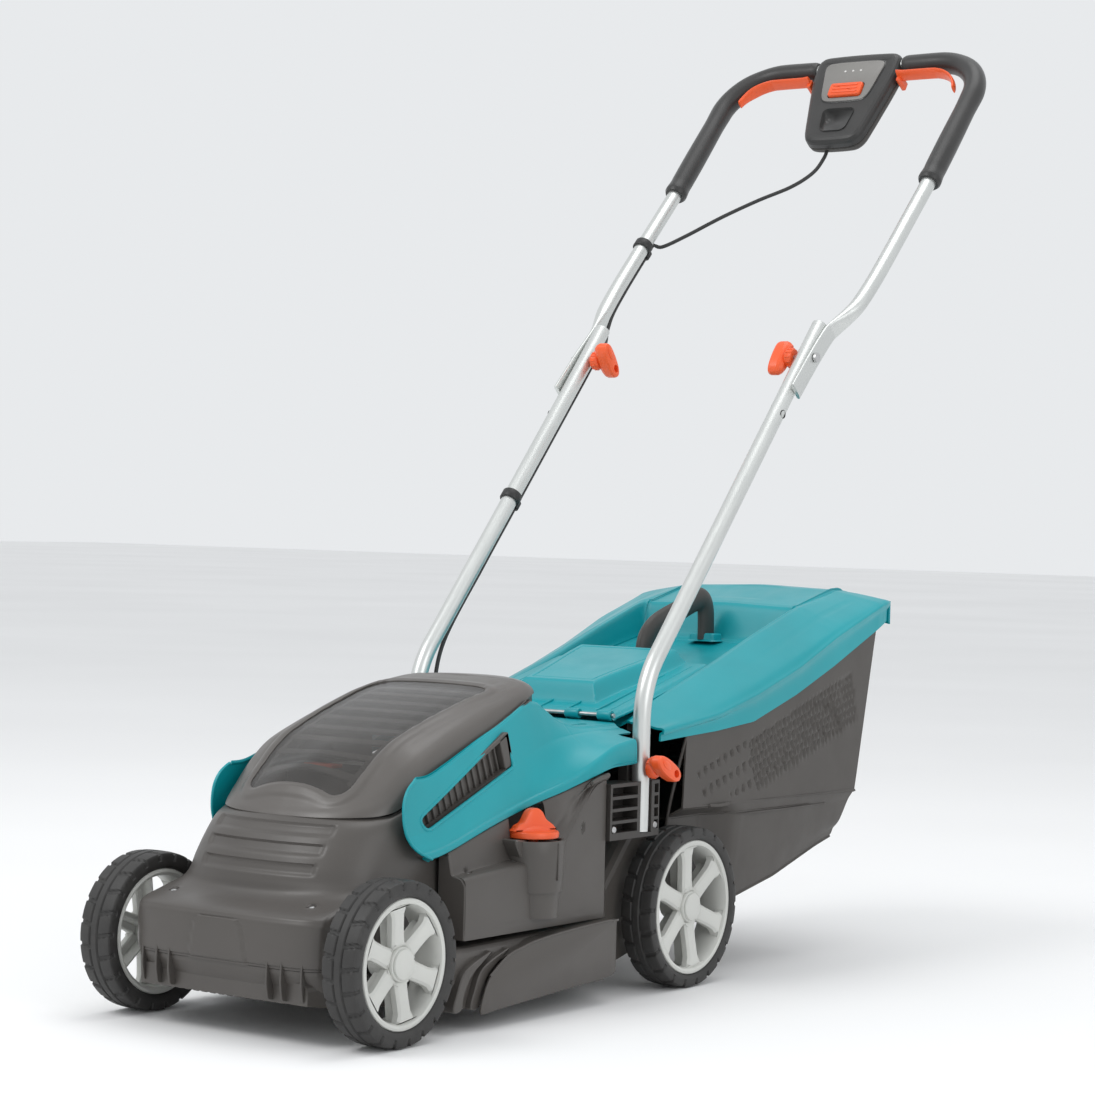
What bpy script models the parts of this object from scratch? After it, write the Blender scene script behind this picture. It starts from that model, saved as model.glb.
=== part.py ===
"""Cordless rotary lawn mower with a grass box, built piece by piece.

Metres, +Z up. The mower's nose points to -Y, its handle rises to +Y, and +X is its left side.
The origin is on the ground, below the middle of the bounding box.
"""

import math

import bmesh
import bpy
from mathutils import Matrix, Vector

# Driving dimensions
GAP = 0.0003                     # between pieces that touch
HALF_WIDTH = 0.185               # ground to outer wheel face, half the track's outer width
TYRE_WIDTH = 0.042
FRONT_AXLE_Y = -0.563
FRONT_RADIUS = 0.0845
REAR_AXLE_Y = -0.031
REAR_RADIUS = 0.092
AXLE_RADIUS = 0.005
WINDOW_TURN = math.radians(36.0)  # rims' windows, from straight up towards the back
DECK_WALL = 0.003
COVER_WALL = 0.0025

BLADE_Y = -0.313                 # motor, shaft and blade stand on this line
BLADE_RADIUS = 0.158
BLADE_Z = 0.030

KNOB_X, KNOB_Y, KNOB_Z = 0.149, -0.303, 0.1892   # height knob, on its turret

TUBE_X = 0.1615                  # lower handle tubes
TUBE_RADIUS = 0.010
TUBE_Y = -0.115
TUBE_FOOT_Z = 0.183
BEND_Z = 0.348                   # where the tube's two straight lines meet
BEND_RADIUS = 0.11
TUBE_SLOPE = math.radians(49.0)
TUBE_TOP_Y = 0.258
LOWER_BOLT_Z = 0.256

PIVOT_Y = 0.222                  # fold of the handle
PIVOT_Z = BEND_Z + (PIVOT_Y - TUBE_Y) * math.tan(TUBE_SLOPE)

HANDLE_X = 0.1933                # upper handle
HANDLE_SLOPE = math.radians(48.0)
SHAFT_SLOPE = math.radians(45.5)
BAR_Y, BAR_Z = 0.6325, 1.155     # crossbar
BAR_RADIUS = 0.0098
CORNER_RADIUS = 0.075
GRIP_RADIUS = 0.0145
GRIP_FOOT_Y = 0.4693

CONSOLE_TILT = math.radians(57.0)
CONSOLE_HALF_WIDTH = 0.065

LID_HINGE_Y, LID_HINGE_Z = -0.5475, 0.2195
FLAP_HINGE_Y, FLAP_HINGE_Z = -0.0975, 0.3095

SIDES = {"left": 1, "right": -1}

DARK = ("dark plastic", (0.085, 0.078, 0.070), 0.45, 0.0)
BLACK = ("black plastic", (0.030, 0.029, 0.028), 0.45, 0.0)
TEAL = ("teal plastic", (0.000, 0.365, 0.410), 0.40, 0.0)
ORANGE = ("orange plastic", (0.800, 0.110, 0.030), 0.35, 0.0)
RUBBER = ("tyre", (0.022, 0.021, 0.020), 0.65, 0.0)
RIM = ("rim plastic", (0.560, 0.560, 0.530), 0.45, 0.0)
ALUMINIUM = ("aluminium", (0.600, 0.610, 0.600), 0.35, 0.9)
STEEL = ("steel", (0.480, 0.480, 0.480), 0.30, 1.0)
GRIP = ("soft grip", (0.028, 0.027, 0.026), 0.60, 0.0)
SMOKE = ("smoky window", (0.050, 0.048, 0.045), 0.12, 0.0)
PANEL = ("grey panel", (0.200, 0.195, 0.185), 0.35, 0.0)

X_AXIS = Vector((1, 0, 0))
Y_AXIS = Vector((0, 1, 0))
Z_AXIS = Vector((0, 0, 1))


# Scene helpers

def clear_scene():
    for thing in list(bpy.data.objects):
        bpy.data.objects.remove(thing, do_unlink=True)


def collection(name):
    if name not in bpy.data.collections:
        bpy.context.scene.collection.children.link(bpy.data.collections.new(name))
    return bpy.data.collections[name]


def material(spec):
    name, colour, roughness, metallic = spec
    if name in bpy.data.materials:
        return bpy.data.materials[name]
    made = bpy.data.materials.new(name)
    made.use_nodes = True
    shader = made.node_tree.nodes["Principled BSDF"]
    shader.inputs["Base Color"].default_value = (*colour, 1.0)
    shader.inputs["Roughness"].default_value = roughness
    shader.inputs["Metallic"].default_value = metallic
    return made


def place(name, bm, finish, origin=(0, 0, 0), group="mower", closed=True):
    """Turn a bmesh drawn in world places into an object whose origin is at origin."""
    if closed:
        bmesh.ops.recalc_face_normals(bm, faces=bm.faces[:])
    mesh = bpy.data.meshes.new(name)
    bm.to_mesh(mesh)
    bm.free()
    mesh.transform(Matrix.Translation(-Vector(origin)))
    thing = bpy.data.objects.new(name, mesh)
    thing.location = origin
    mesh.materials.append(material(finish))
    mesh.shade_smooth()
    mesh.set_sharp_from_angle(angle=math.radians(35))
    collection(group).objects.link(thing)
    return thing


def cutter(name, bm):
    thing = place(name, bm, DARK, group="cutters")
    thing.hide_render = True
    thing.display_type = "WIRE"
    return thing


def combine(thing, tool, operation="DIFFERENCE"):
    modifier = thing.modifiers.new(f"{operation.lower()} {tool.name}", "BOOLEAN")
    modifier.operation = operation
    modifier.object = tool
    modifier.solver = "EXACT"


def wall(thing, thickness):
    modifier = thing.modifiers.new("wall", "SOLIDIFY")
    modifier.thickness = thickness
    modifier.offset = -1
    modifier.use_even_offset = True


# Shape helpers

def box_bm(low, high, bevel=0.0, segments=2, turn=None):
    """Box between two corners, turned about its middle by the matrix turn."""
    low, high = Vector(low), Vector(high)
    bm = bmesh.new()
    bmesh.ops.create_cube(bm, size=1.0)
    bmesh.ops.scale(bm, vec=high - low, verts=bm.verts)
    if bevel:
        bmesh.ops.bevel(bm, geom=bm.edges[:], offset=bevel, segments=segments, affect="EDGES", profile=0.5)
    if turn:
        bmesh.ops.transform(bm, matrix=turn, verts=bm.verts)
    bmesh.ops.translate(bm, vec=(low + high) / 2, verts=bm.verts)
    return bm


def rod_bm(start, end, radius, segments=16, end_radius=None):
    start, end = Vector(start), Vector(end)
    run = end - start
    bm = bmesh.new()
    bmesh.ops.create_cone(bm, cap_ends=True, segments=segments, radius1=radius,
                          radius2=radius if end_radius is None else end_radius, depth=run.length)
    turn = Z_AXIS.rotation_difference(run.normalized()).to_matrix().to_4x4()
    bmesh.ops.transform(bm, matrix=Matrix.Translation((start + end) / 2) @ turn, verts=bm.verts)
    return bm


def add_bm(bm, other):
    """Add the shapes of another bmesh, as separate bodies."""
    spare = bpy.data.meshes.new("spare")
    other.to_mesh(spare)
    other.free()
    bm.from_mesh(spare)
    bpy.data.meshes.remove(spare)
    return bm


def prism_bm(outline, run):
    """Closed outline of points, pushed along the vector run."""
    bm = bmesh.new()
    face = bm.faces.new([bm.verts.new(point) for point in outline])
    pushed = bmesh.ops.extrude_face_region(bm, geom=[face])
    verts = [item for item in pushed["geom"] if isinstance(item, bmesh.types.BMVert)]
    bmesh.ops.translate(bm, vec=Vector(run), verts=verts)
    return bm


def loft_bm(rings, front=False, back=False, loop=False):
    """Skin over rings of equal count. Each runs from its +X foot over the top, rings go to +Y."""
    bm = bmesh.new()
    verts = [[bm.verts.new(point) for point in ring] for ring in rings]
    count = len(rings[0])
    for near, far in zip(verts, verts[1:]):
        for i in range(count if loop else count - 1):
            j = (i + 1) % count
            bm.faces.new((near[i], far[i], far[j], near[j]))
    if front:
        bm.faces.new(verts[0])
    if back:
        bm.faces.new(verts[-1][::-1])
    return bm


def arch(y, half_width, top, bottom, corner, crown=0.0, steps=3):
    """Half of an upside-down U from its foot to the middle, then its mirror image."""
    half = [(half_width, y, bottom)]
    for i in range(steps + 1):
        angle = math.pi / 2 * i / steps
        half.append((half_width - corner + corner * math.cos(angle), y, top - corner + corner * math.sin(angle)))
    half.append(((half_width - corner) * 0.55, y, top + crown * 0.75))
    return mirrored(half, (0.0, y, top + crown))


def mirrored(half, middle):
    return half + [middle] + [(-x, y, z) for x, y, z in half[::-1]]


def sweep_bm(stations, normal, sides=12):
    """Closed tube along stations of (point, half size in the path's plane, half size along normal)."""
    normal = Vector(normal).normalized()
    points = [Vector(station[0]) for station in stations]
    bm = bmesh.new()
    rings = []
    for i, (point, flat, tall) in enumerate(stations):
        along = (points[min(i + 1, len(points) - 1)] - points[max(i - 1, 0)]).normalized()
        across = normal.cross(along).normalized()
        up = along.cross(across).normalized()
        ring = []
        for k in range(sides):
            angle = 2 * math.pi * (k + 0.5) / sides
            offset = across * flat * math.cos(angle) + up * tall * math.sin(angle)
            ring.append(bm.verts.new(Vector(point) + offset))
        rings.append(ring)
    for near, far in zip(rings, rings[1:]):
        for k in range(sides):
            bm.faces.new((near[k], near[(k + 1) % sides], far[(k + 1) % sides], far[k]))
    return bm, rings


def solid_sweep(stations, normal, sides=12):
    bm, rings = sweep_bm(stations, normal, sides)
    bm.faces.new(rings[0][::-1])
    bm.faces.new(rings[-1])
    return bm


def hollow_sweep(stations, thickness, normal, sides=12):
    bm, outer = sweep_bm(stations, normal, sides)
    narrow = [(point, flat - thickness, tall - thickness) for point, flat, tall in stations]
    add_bm(bm, sweep_bm(narrow, normal, sides)[0])
    bm.verts.ensure_lookup_table()
    count = len(stations) * sides
    for base in (0, count - sides):
        for k in range(sides):
            near, far = base + k, base + (k + 1) % sides
            bm.faces.new([bm.verts[n] for n in (near, far, far + count, near + count)])
    return bm


def turned(name, profile, finish, centre, axis=X_AXIS, steps=32, origin=None):
    """Screw a profile of (radius, height) about an axis through centre, half a step round."""
    mesh = bpy.data.meshes.new(name)
    bm = bmesh.new()
    closed = profile[0][0] > 0.0001
    verts = [bm.verts.new((radius, 0, height)) for radius, height in profile]
    for a, b in zip(verts, verts[1:] + verts[:1] if closed else verts[1:]):
        bm.edges.new((a, b))
    half_step = Matrix.Rotation(math.pi / steps, 4, "Z")
    bmesh.ops.transform(bm, matrix=half_step, verts=bm.verts)
    bm.to_mesh(mesh)
    bm.free()
    thing = bpy.data.objects.new(name, mesh)
    thing.rotation_euler = Z_AXIS.rotation_difference(Vector(axis)).to_euler()
    thing.location = centre
    screw = thing.modifiers.new("turn", "SCREW")
    screw.steps = steps
    screw.render_steps = steps
    screw.use_merge_vertices = True
    screw.merge_threshold = 0.00005
    screw.use_smooth_shade = True
    mesh.materials.append(material(finish))
    collection("mower").objects.link(thing)
    return thing


# Handle geometry

HANDLE_UP = Vector((0, math.cos(HANDLE_SLOPE), math.sin(HANDLE_SLOPE)))
HANDLE_NORMAL = Vector((0, -math.sin(HANDLE_SLOPE), math.cos(HANDLE_SLOPE)))
BAR = Vector((0, BAR_Y, BAR_Z))
TUBE_UP = Vector((0, math.cos(TUBE_SLOPE), math.sin(TUBE_SLOPE)))
CONSOLE_UP = Vector((0, math.cos(CONSOLE_TILT), math.sin(CONSOLE_TILT)))
CONSOLE_OUT = Vector((0, -math.sin(CONSOLE_TILT), math.cos(CONSOLE_TILT)))


def handle_point(x, below):
    """Point of the handle's plane, at x and a distance below the crossbar."""
    return BAR - HANDLE_UP * below + X_AXIS * x


def shaft_point(x, y):
    """Point of the handle's straight legs, which lean a little less than its grips."""
    foot = handle_point(x, (BAR_Y - GRIP_FOOT_Y) / math.cos(HANDLE_SLOPE))
    return foot + Vector((0, y - GRIP_FOOT_Y, (y - GRIP_FOOT_Y) * math.tan(SHAFT_SLOPE)))


def console_point(x, up, out):
    return BAR + CONSOLE_UP * up + CONSOLE_OUT * out + X_AXIS * x


def tube_point(y, x=TUBE_X):
    """Point of the lower tube's sloping middle line."""
    return Vector((x, y, BEND_Z + (y - TUBE_Y) * math.tan(TUBE_SLOPE)))


def corner_points(side, inset=0.0, first=0.0, last=90.0, steps=6):
    """Middle line of the handle's round corner, from its side to the crossbar."""
    radius = CORNER_RADIUS - inset
    points = []
    for i in range(steps + 1):
        angle = math.radians(first + (last - first) * i / steps)
        x = HANDLE_X - CORNER_RADIUS + radius * math.cos(angle)
        points.append(handle_point(side * x, CORNER_RADIUS - radius * math.sin(angle)))
    return points


# Pieces

def build_deck():
    deck = place("deck_housing", loft_bm([
        arch(-0.628, 0.112, 0.064, 0.042, 0.008),
        arch(-0.600, 0.123, 0.067, 0.038, 0.008),
        arch(-0.492, 0.134, 0.070, 0.030, 0.008),
        arch(-0.458, 0.1655, 0.086, 0.024, 0.010),
        arch(-0.185, 0.1655, 0.089, 0.024, 0.010),
        arch(-0.140, 0.135, 0.130, 0.030, 0.014),
        arch(-0.045, 0.132, 0.230, 0.050, 0.016),
    ], front=True), DARK, closed=False)
    wall(deck, DECK_WALL)
    combine(deck, cutter("axle_slot_cut", box_bm(
        (-0.2, FRONT_AXLE_Y - 0.008, 0.045), (0.2, FRONT_AXLE_Y + 0.008, 0.120))))
    combine(deck, cutter("shaft_hole_cut", rod_bm((0, BLADE_Y, 0.07), (0, BLADE_Y, 0.11), 0.014)))


COVER_STATIONS = [
    # y, half width, top, foot, corner radius
    (-0.6385, 0.096, 0.124, 0.0765, 0.012),
    (-0.634, 0.118, 0.130, 0.0765, 0.014),
    (-0.604, 0.128, 0.142, 0.0765, 0.016),
    (-0.586, 0.128, 0.158, 0.0765, 0.030),
    (-0.5495, 0.126, 0.215, 0.0900, 0.045),
    (-0.500, 0.125, 0.2185, 0.0920, 0.020),
    (-0.452, 0.1235, 0.2525, 0.0920, 0.010),
    (-0.330, 0.1155, 0.302, 0.0920, 0.010),
    (-0.2465, 0.1075, 0.3285, 0.0920, 0.010),
    (-0.215, 0.1035, 0.338, 0.0920, 0.010),
]


def build_motor_cover():
    cover = place("motor_cover", loft_bm([arch(*station) for station in COVER_STATIONS], front=True, back=True),
                  DARK, closed=False)
    wall(cover, COVER_WALL)
    combine(cover, cutter("battery_bay_cut", box_bm((-0.089, -0.508, 0.18), (0.089, -0.235, 0.40))))
    combine(cover, cutter("cover_axle_cut", box_bm(
        (-0.2, FRONT_AXLE_Y - 0.008, 0.03), (0.2, FRONT_AXLE_Y + 0.008, 0.102))))


def lid_rings():
    stations = [
        # y, half width, edge height, crown height
        (-0.5460, 0.062, 0.2195, 0.0050),
        (-0.5300, 0.092, 0.2205, 0.0265),
        (-0.5050, 0.112, 0.2230, 0.0490),
        (-0.4520, 0.118, 0.2570, 0.0400),
        (-0.4000, 0.116, 0.2780, 0.0400),
        (-0.3300, 0.112, 0.3060, 0.0340),
        (-0.2600, 0.105, 0.3330, 0.0200),
        (-0.2150, 0.098, 0.3440, 0.0140),
    ]
    rings = []
    for y, half_width, edge, crown in stations:
        half = [(half_width * w, y, edge + crown * h) for w, h in
                ((1.0, 0.0), (0.985, 0.42), (0.90, 0.78), (0.55, 0.95))]
        rings.append(mirrored(half, (0.0, y, edge + crown)))
    return rings


def window_outline(inset):
    """Rounded trapezoid of the lid's window, seen from above."""
    corners = [(0.066, -0.527), (0.078, -0.288), (-0.078, -0.288), (-0.066, -0.527)]
    radius = 0.020
    points = []
    for i, (x, y) in enumerate(corners):
        middle = Vector((math.copysign(abs(x) - radius, x), y + (radius if i in (0, 3) else -radius)))
        for k in range(4):
            angle = math.radians(-90 + 90 * i + 30 * k)
            points.append(middle + Vector((math.cos(angle), math.sin(angle))) * (radius - inset))
    return [(point.x, point.y, 0.15) for point in points]


def build_battery_lid():
    origin = (0, LID_HINGE_Y, LID_HINGE_Z)
    for name, finish, inset, operation in (("battery_lid", DARK, 0.0, "DIFFERENCE"),
                                           ("lid_window", SMOKE, 0.0004, "INTERSECT")):
        shell = place(name, loft_bm(lid_rings(), front=True, back=True), finish, origin, closed=False)
        wall(shell, 0.0022)
        combine(shell, cutter(f"{name}_cut", prism_bm(window_outline(inset), (0, 0, 0.30))), operation)


def build_cowl():
    stations = [
        # y, foot half width, foot height, shoulder half width, top
        (-0.512, 0.1360, 0.205, 0.130, 0.243),
        (-0.500, 0.1400, 0.190, 0.130, 0.250),
        (-0.461, 0.1430, 0.1795, 0.1285, 0.259),
        (-0.400, 0.1420, 0.195, 0.124, 0.283),
        (-0.330, 0.1380, 0.212, 0.119, 0.307),
        (-0.300, 0.1375, 0.2190, 0.115, 0.317),
        (-0.262, 0.1450, 0.2295, 0.111, 0.328),
        (-0.232, 0.1570, 0.2415, 0.111, 0.318),
        (-0.205, 0.1645, 0.2510, 0.114, 0.306),
        (-0.178, 0.1665, 0.2580, 0.118, 0.299),
        (-0.145, 0.1670, 0.2600, 0.120, 0.298),
        (-0.103, 0.1670, 0.2620, 0.120, 0.300),
    ]
    rings = []
    for y, foot_w, foot_z, top_w, top_z in stations:
        half = [(foot_w, y, foot_z),
                (foot_w - 0.001, y, foot_z + 0.012),
                (top_w + (foot_w - top_w) * 0.30, y, top_z - (top_z - foot_z) * 0.16),
                (top_w, y, top_z)]
        rings.append(mirrored(half, (0.0, y, top_z + 0.001)))
    cowl = place("cowl", loft_bm(rings, front=True), TEAL, closed=False)
    wall(cowl, COVER_WALL)
    outline = [(width + 0.0015, y) for y, width, *rest in COVER_STATIONS[4:]]
    outline[-1] = (outline[-1][0], COVER_STATIONS[-1][0] + 0.0015)
    outline = outline + [(-x, y) for x, y in outline[::-1]]
    combine(cowl, cutter("hood_cut", prism_bm([(x, y, 0.1) for x, y in outline], (0, 0, 0.4))))
    combine(cowl, cutter("loop_cut", box_bm((-0.3, -0.480, 0.2364), (0.3, -0.296, 0.2700), bevel=0.014,
                                            turn=Matrix.Rotation(math.radians(20.9), 4, "X"))))
    for name, side in SIDES.items():
        low, high = sorted((side * 0.139, side * 0.20))
        combine(cowl, cutter(f"tube_notch_cut_{name}", box_bm((low, -0.130, 0.2), (high, -0.05, 0.4))))


def build_side_covers():
    stations = [
        # y, top of the outer part, cowl edge half width and height
        (-0.442, 0.158, 0.1425, 0.1840),
        (-0.400, 0.161, 0.1420, 0.1950),
        (-0.330, 0.166, 0.1385, 0.2110),
        (-0.290, 0.172, 0.1395, 0.2215),
        (-0.262, 0.190, 0.1450, 0.2295),
        (-0.232, 0.222, 0.1560, 0.2410),
        (-0.205, 0.246, 0.1600, 0.2505),
        (-0.188, 0.250, 0.1600, 0.2535),
    ]
    for name, side in SIDES.items():
        rings = []
        for y, top, edge_x, edge_z in stations:
            edge_z -= 0.0018
            edge_x -= 0.002
            rise = edge_z - top
            ring = [(0.1655, 0.0935), (0.1655, top - 0.009), (0.1635, top - 0.002),
                    (0.1635 + (edge_x - 0.1635) * 0.4, top + rise * 0.2),
                    (0.1635 + (edge_x - 0.1635) * 0.8, top + rise * 0.75),
                    (edge_x, edge_z), (edge_x - 0.006, edge_z), (0.1305, 0.0935)]
            rings.append([(side * x, y, z) for x, z in (ring if side > 0 else ring[::-1])])
        cover = place(f"side_cover_{name}", loft_bm(rings, front=True, back=True), DARK, closed=False)
        wall(cover, 0.0022)
        if name == "left":
            combine(cover, cutter("turret_join", rod_bm((KNOB_X, KNOB_Y, 0.148), (KNOB_X, KNOB_Y, KNOB_Z - 0.001),
                                                        0.0355, 28)), "UNION")
            combine(cover, cutter("turret_cut", rod_bm((KNOB_X, KNOB_Y, 0.14), (KNOB_X, KNOB_Y, 0.20), 0.0065)))
            combine(cover, cutter("knob_room_cut", rod_bm((KNOB_X, KNOB_Y, KNOB_Z - 0.0005),
                                                          (KNOB_X, KNOB_Y, 0.24), 0.0300, 28)))


def build_side_combs():
    outline = [(-0.430, 0.019), (-0.420, 0.050), (-0.396, 0.0705), (-0.337, 0.0845), (-0.186, 0.0925),
               (-0.184, 0.031)]
    for name, side in SIDES.items():
        comb = place(f"side_comb_{name}",
                     prism_bm([(side * 0.1775, y, z) for y, z in outline], (side * 0.003, 0, 0)), DARK)
        low, high = sorted((side * 0.1668, side * 0.179))
        combine(comb, cutter(f"comb_flange_{name}", box_bm((low, -0.345, 0.0815), (high, -0.1865, 0.0840))), "UNION")


def build_vent_grilles():
    lean = Matrix.Rotation(math.radians(20.9), 4, "X")
    for name, side in SIDES.items():
        turn = Matrix.Rotation(side * math.radians(3.6), 4, "Z") @ lean
        middle = Vector((side * 0.1227, -0.388, 0.2532))
        bm = box_bm((-0.0015, -0.0905, -0.0160), (0.0015, 0.0905, 0.0160))
        bmesh.ops.transform(bm, matrix=Matrix.Translation(middle) @ turn, verts=bm.verts)
        grille = place(f"vent_grille_{name}", bm, DARK)
        slots = bmesh.new()
        for i in range(12):
            y = -0.082 + 0.0125 * i
            add_bm(slots, box_bm((-0.01, y, -0.0125), (0.01, y + 0.0085, 0.0125)))
        bmesh.ops.transform(slots, matrix=Matrix.Translation(middle) @ turn, verts=slots.verts)
        combine(grille, cutter(f"grille_slots_{name}", slots))


def build_brackets():
    for name, side in SIDES.items():
        def span(inner, outer, y0, y1, z0, z1):
            low, high = sorted((side * inner, side * outer))
            return box_bm((low, y0, z0), (high, y1, z1))
        bracket = place(f"handle_bracket_{name}", span(0.1405, 0.1700, -0.186, -0.088, 0.178, 0.2405), DARK)
        combine(bracket, cutter(f"bracket_post_{name}", span(0.1405, 0.1525, -0.1290, -0.1010, 0.182, 0.282)), "UNION")
        combine(bracket, cutter(f"bracket_channel_{name}", span(0.1505, 0.18, -0.1262, -0.1038, 0.1825, 0.30)))
        combine(bracket, cutter(f"bracket_hole_{name}", rod_bm(
            (side * 0.13, TUBE_Y, LOWER_BOLT_Z), (side * 0.17, TUBE_Y, LOWER_BOLT_Z), 0.0035)))
        slots = bmesh.new()
        for i in range(4):
            z = 0.186 + 0.0135 * i
            for y0, y1 in ((-0.182, -0.132), (-0.098, -0.090)):
                add_bm(slots, span(0.150, 0.18, y0, y1, z, z + 0.010))
        combine(bracket, cutter(f"bracket_slots_{name}", slots))


def build_motor_and_blade():
    place("motor", rod_bm((0, BLADE_Y, 0.0925), (0, BLADE_Y, 0.180), 0.043, 32), BLACK)
    axis = (0, BLADE_Y, 0)
    shaft = place("motor_shaft", rod_bm((0, BLADE_Y, BLADE_Z + 0.004), (0, BLADE_Y, 0.0922), 0.006), STEEL, axis)
    combine(shaft, cutter("shaft_thread_cut", rod_bm((0, BLADE_Y, 0.02), (0, BLADE_Y, 0.0465), 0.0036)))
    carrier = place("blade_carrier", rod_bm((0, BLADE_Y, BLADE_Z + 0.004), (0, BLADE_Y, 0.056), 0.024, 24),
                    BLACK, axis)
    combine(carrier, cutter("carrier_cut", rod_bm((0, BLADE_Y, 0.02), (0, BLADE_Y, 0.07), 0.0063)))
    half = BLADE_RADIUS
    bar = [(-half, -0.012), (-half + 0.006, -0.022), (-0.03, -0.022), (half - 0.03, -0.022), (half - 0.004, -0.020),
           (half, 0.012), (half - 0.006, 0.022), (0.03, 0.022), (-half + 0.03, 0.022), (-half + 0.004, 0.020)]
    blade = place("blade", prism_bm([(x, BLADE_Y + y, BLADE_Z) for x, y in bar], (0, 0, 0.0035)), STEEL, axis)
    combine(blade, cutter("blade_cut", rod_bm((0, BLADE_Y, 0.02), (0, BLADE_Y, 0.05), 0.0040)))
    bolt = place("blade_bolt", rod_bm((0, BLADE_Y, 0.0225), (0, BLADE_Y, BLADE_Z - GAP), 0.009, 6), STEEL, axis)
    combine(bolt, cutter("bolt_shank", rod_bm((0, BLADE_Y, 0.028), (0, BLADE_Y, 0.045), 0.0033)), "UNION")


def build_battery():
    tray = place("battery_tray", box_bm((-0.0880, -0.5065, 0.192), (0.0880, -0.2365, 0.226)), DARK)
    combine(tray, cutter("tray_cut", box_bm((-0.0855, -0.504, 0.1945), (0.0855, -0.239, 0.30))))
    place("battery_pack", box_bm((-0.075, -0.455, 0.1950), (0.010, -0.300, 0.2600), 0.006), BLACK)
    place("safety_key", box_bm((0.035, -0.385, 0.1950), (0.055, -0.355, 0.2600), 0.004), ORANGE)


def build_height_knob():
    origin = (KNOB_X, KNOB_Y, KNOB_Z)
    knob = place("height_knob", rod_bm(origin, (KNOB_X, KNOB_Y, KNOB_Z + 0.008), 0.0285, 28), ORANGE, origin)
    profile = [(-0.027, 0.004), (-0.0265, 0.013), (-0.015, 0.019), (-0.007, 0.0315), (0.007, 0.0315),
               (0.015, 0.019), (0.0265, 0.013), (0.027, 0.004)]
    wing = [(KNOB_X - 0.006, KNOB_Y + y, KNOB_Z + z) for y, z in profile]
    combine(knob, cutter("knob_wing", prism_bm(wing, (0.012, 0, 0))), "UNION")
    combine(knob, cutter("knob_stem", rod_bm((KNOB_X, KNOB_Y, 0.125), (KNOB_X, KNOB_Y, KNOB_Z + 0.004), 0.006)), "UNION")


def build_wheels():
    half = TYRE_WIDTH / 2
    for end, axle_y, radius, seat in (("front", FRONT_AXLE_Y, FRONT_RADIUS, 0.0678), ("rear", REAR_AXLE_Y,
                                                                                   REAR_RADIUS, 0.0778)):
        place(f"{end}_axle", rod_bm((-0.1755, axle_y, radius), (0.1755, axle_y, radius), AXLE_RADIUS), STEEL)
        for name, side in SIDES.items():
            centre = (side * (HALF_WIDTH - half), axle_y, radius)
            steps = 24
            reach = radius / math.cos(math.pi / steps)
            tyre = [(reach - 0.006, half), (reach, half - 0.006), (reach, -half + 0.006), (reach - 0.006, -half),
                    (seat + GAP, -half), (seat + GAP, half)]
            turned(f"{end}_{name}_tyre", tyre, RUBBER, centre, X_AXIS * side, steps)
            rim = [(0, half - 0.001), (0.015, half - 0.001), (0.016, half - 0.004), (seat - 0.008, half - 0.004),
                   (seat - 0.004, half - 0.0005), (seat, half - 0.0005), (seat, -half + 0.001),
                   (seat - 0.0035, -half + 0.001), (seat - 0.0045, half - 0.010), (0.013, half - 0.010),
                   (0.012, -half + 0.001), (AXLE_RADIUS + GAP, -half + 0.001), (AXLE_RADIUS + GAP, 0.0125),
                   (0, 0.0125)]
            wheel = turned(f"{end}_{name}_rim", rim, RIM, centre, X_AXIS * side, steps)
            windows = bmesh.new()
            for i in range(6):
                spread = math.radians(14)
                inner, outer = 0.024, seat - 0.009
                outline = [Vector((0, r * math.sin(a), r * math.cos(a))) for r, a in (
                    (inner, -spread), (outer, -spread * 1.15), (outer + 0.001, 0), (outer, spread * 1.15),
                    (inner, spread))]
                wedge = prism_bm(outline, (0.05, 0, 0))
                place_at = Matrix.Translation((centre[0] - 0.025, axle_y, radius))
                bmesh.ops.transform(wedge, matrix=place_at @ Matrix.Rotation(math.pi / 3 * i - WINDOW_TURN, 4, "X"), verts=wedge.verts)
                add_bm(windows, wedge)
            combine(wheel, cutter(f"{end}_{name}_windows", windows))


def build_rear_flap():
    stations = [
        # y, base height, block half width, block top
        (-0.0975, 0.3095, 0.060, 0.3100),
        (-0.0660, 0.3170, 0.060, 0.3175),
        (-0.0520, 0.3210, 0.060, 0.3400),
        (0.0950, 0.3605, 0.078, 0.3900),
        (0.1050, 0.3635, 0.078, 0.3900),
    ]
    rings = []
    for y, base, block, top in stations:
        half = [(0.113, y, base), (block + 0.008, y, base + 0.0005), (block, y, max(top - 0.004, base + 0.0008)),
                (block - 0.006, y, max(top, base + 0.001))]
        rings.append(mirrored(half, (0.0, y, max(top, base) + 0.0015)))
    flap = place("rear_flap", loft_bm(rings), TEAL, (0, FLAP_HINGE_Y, FLAP_HINGE_Z), closed=False)
    wall(flap, 0.0025)


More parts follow.
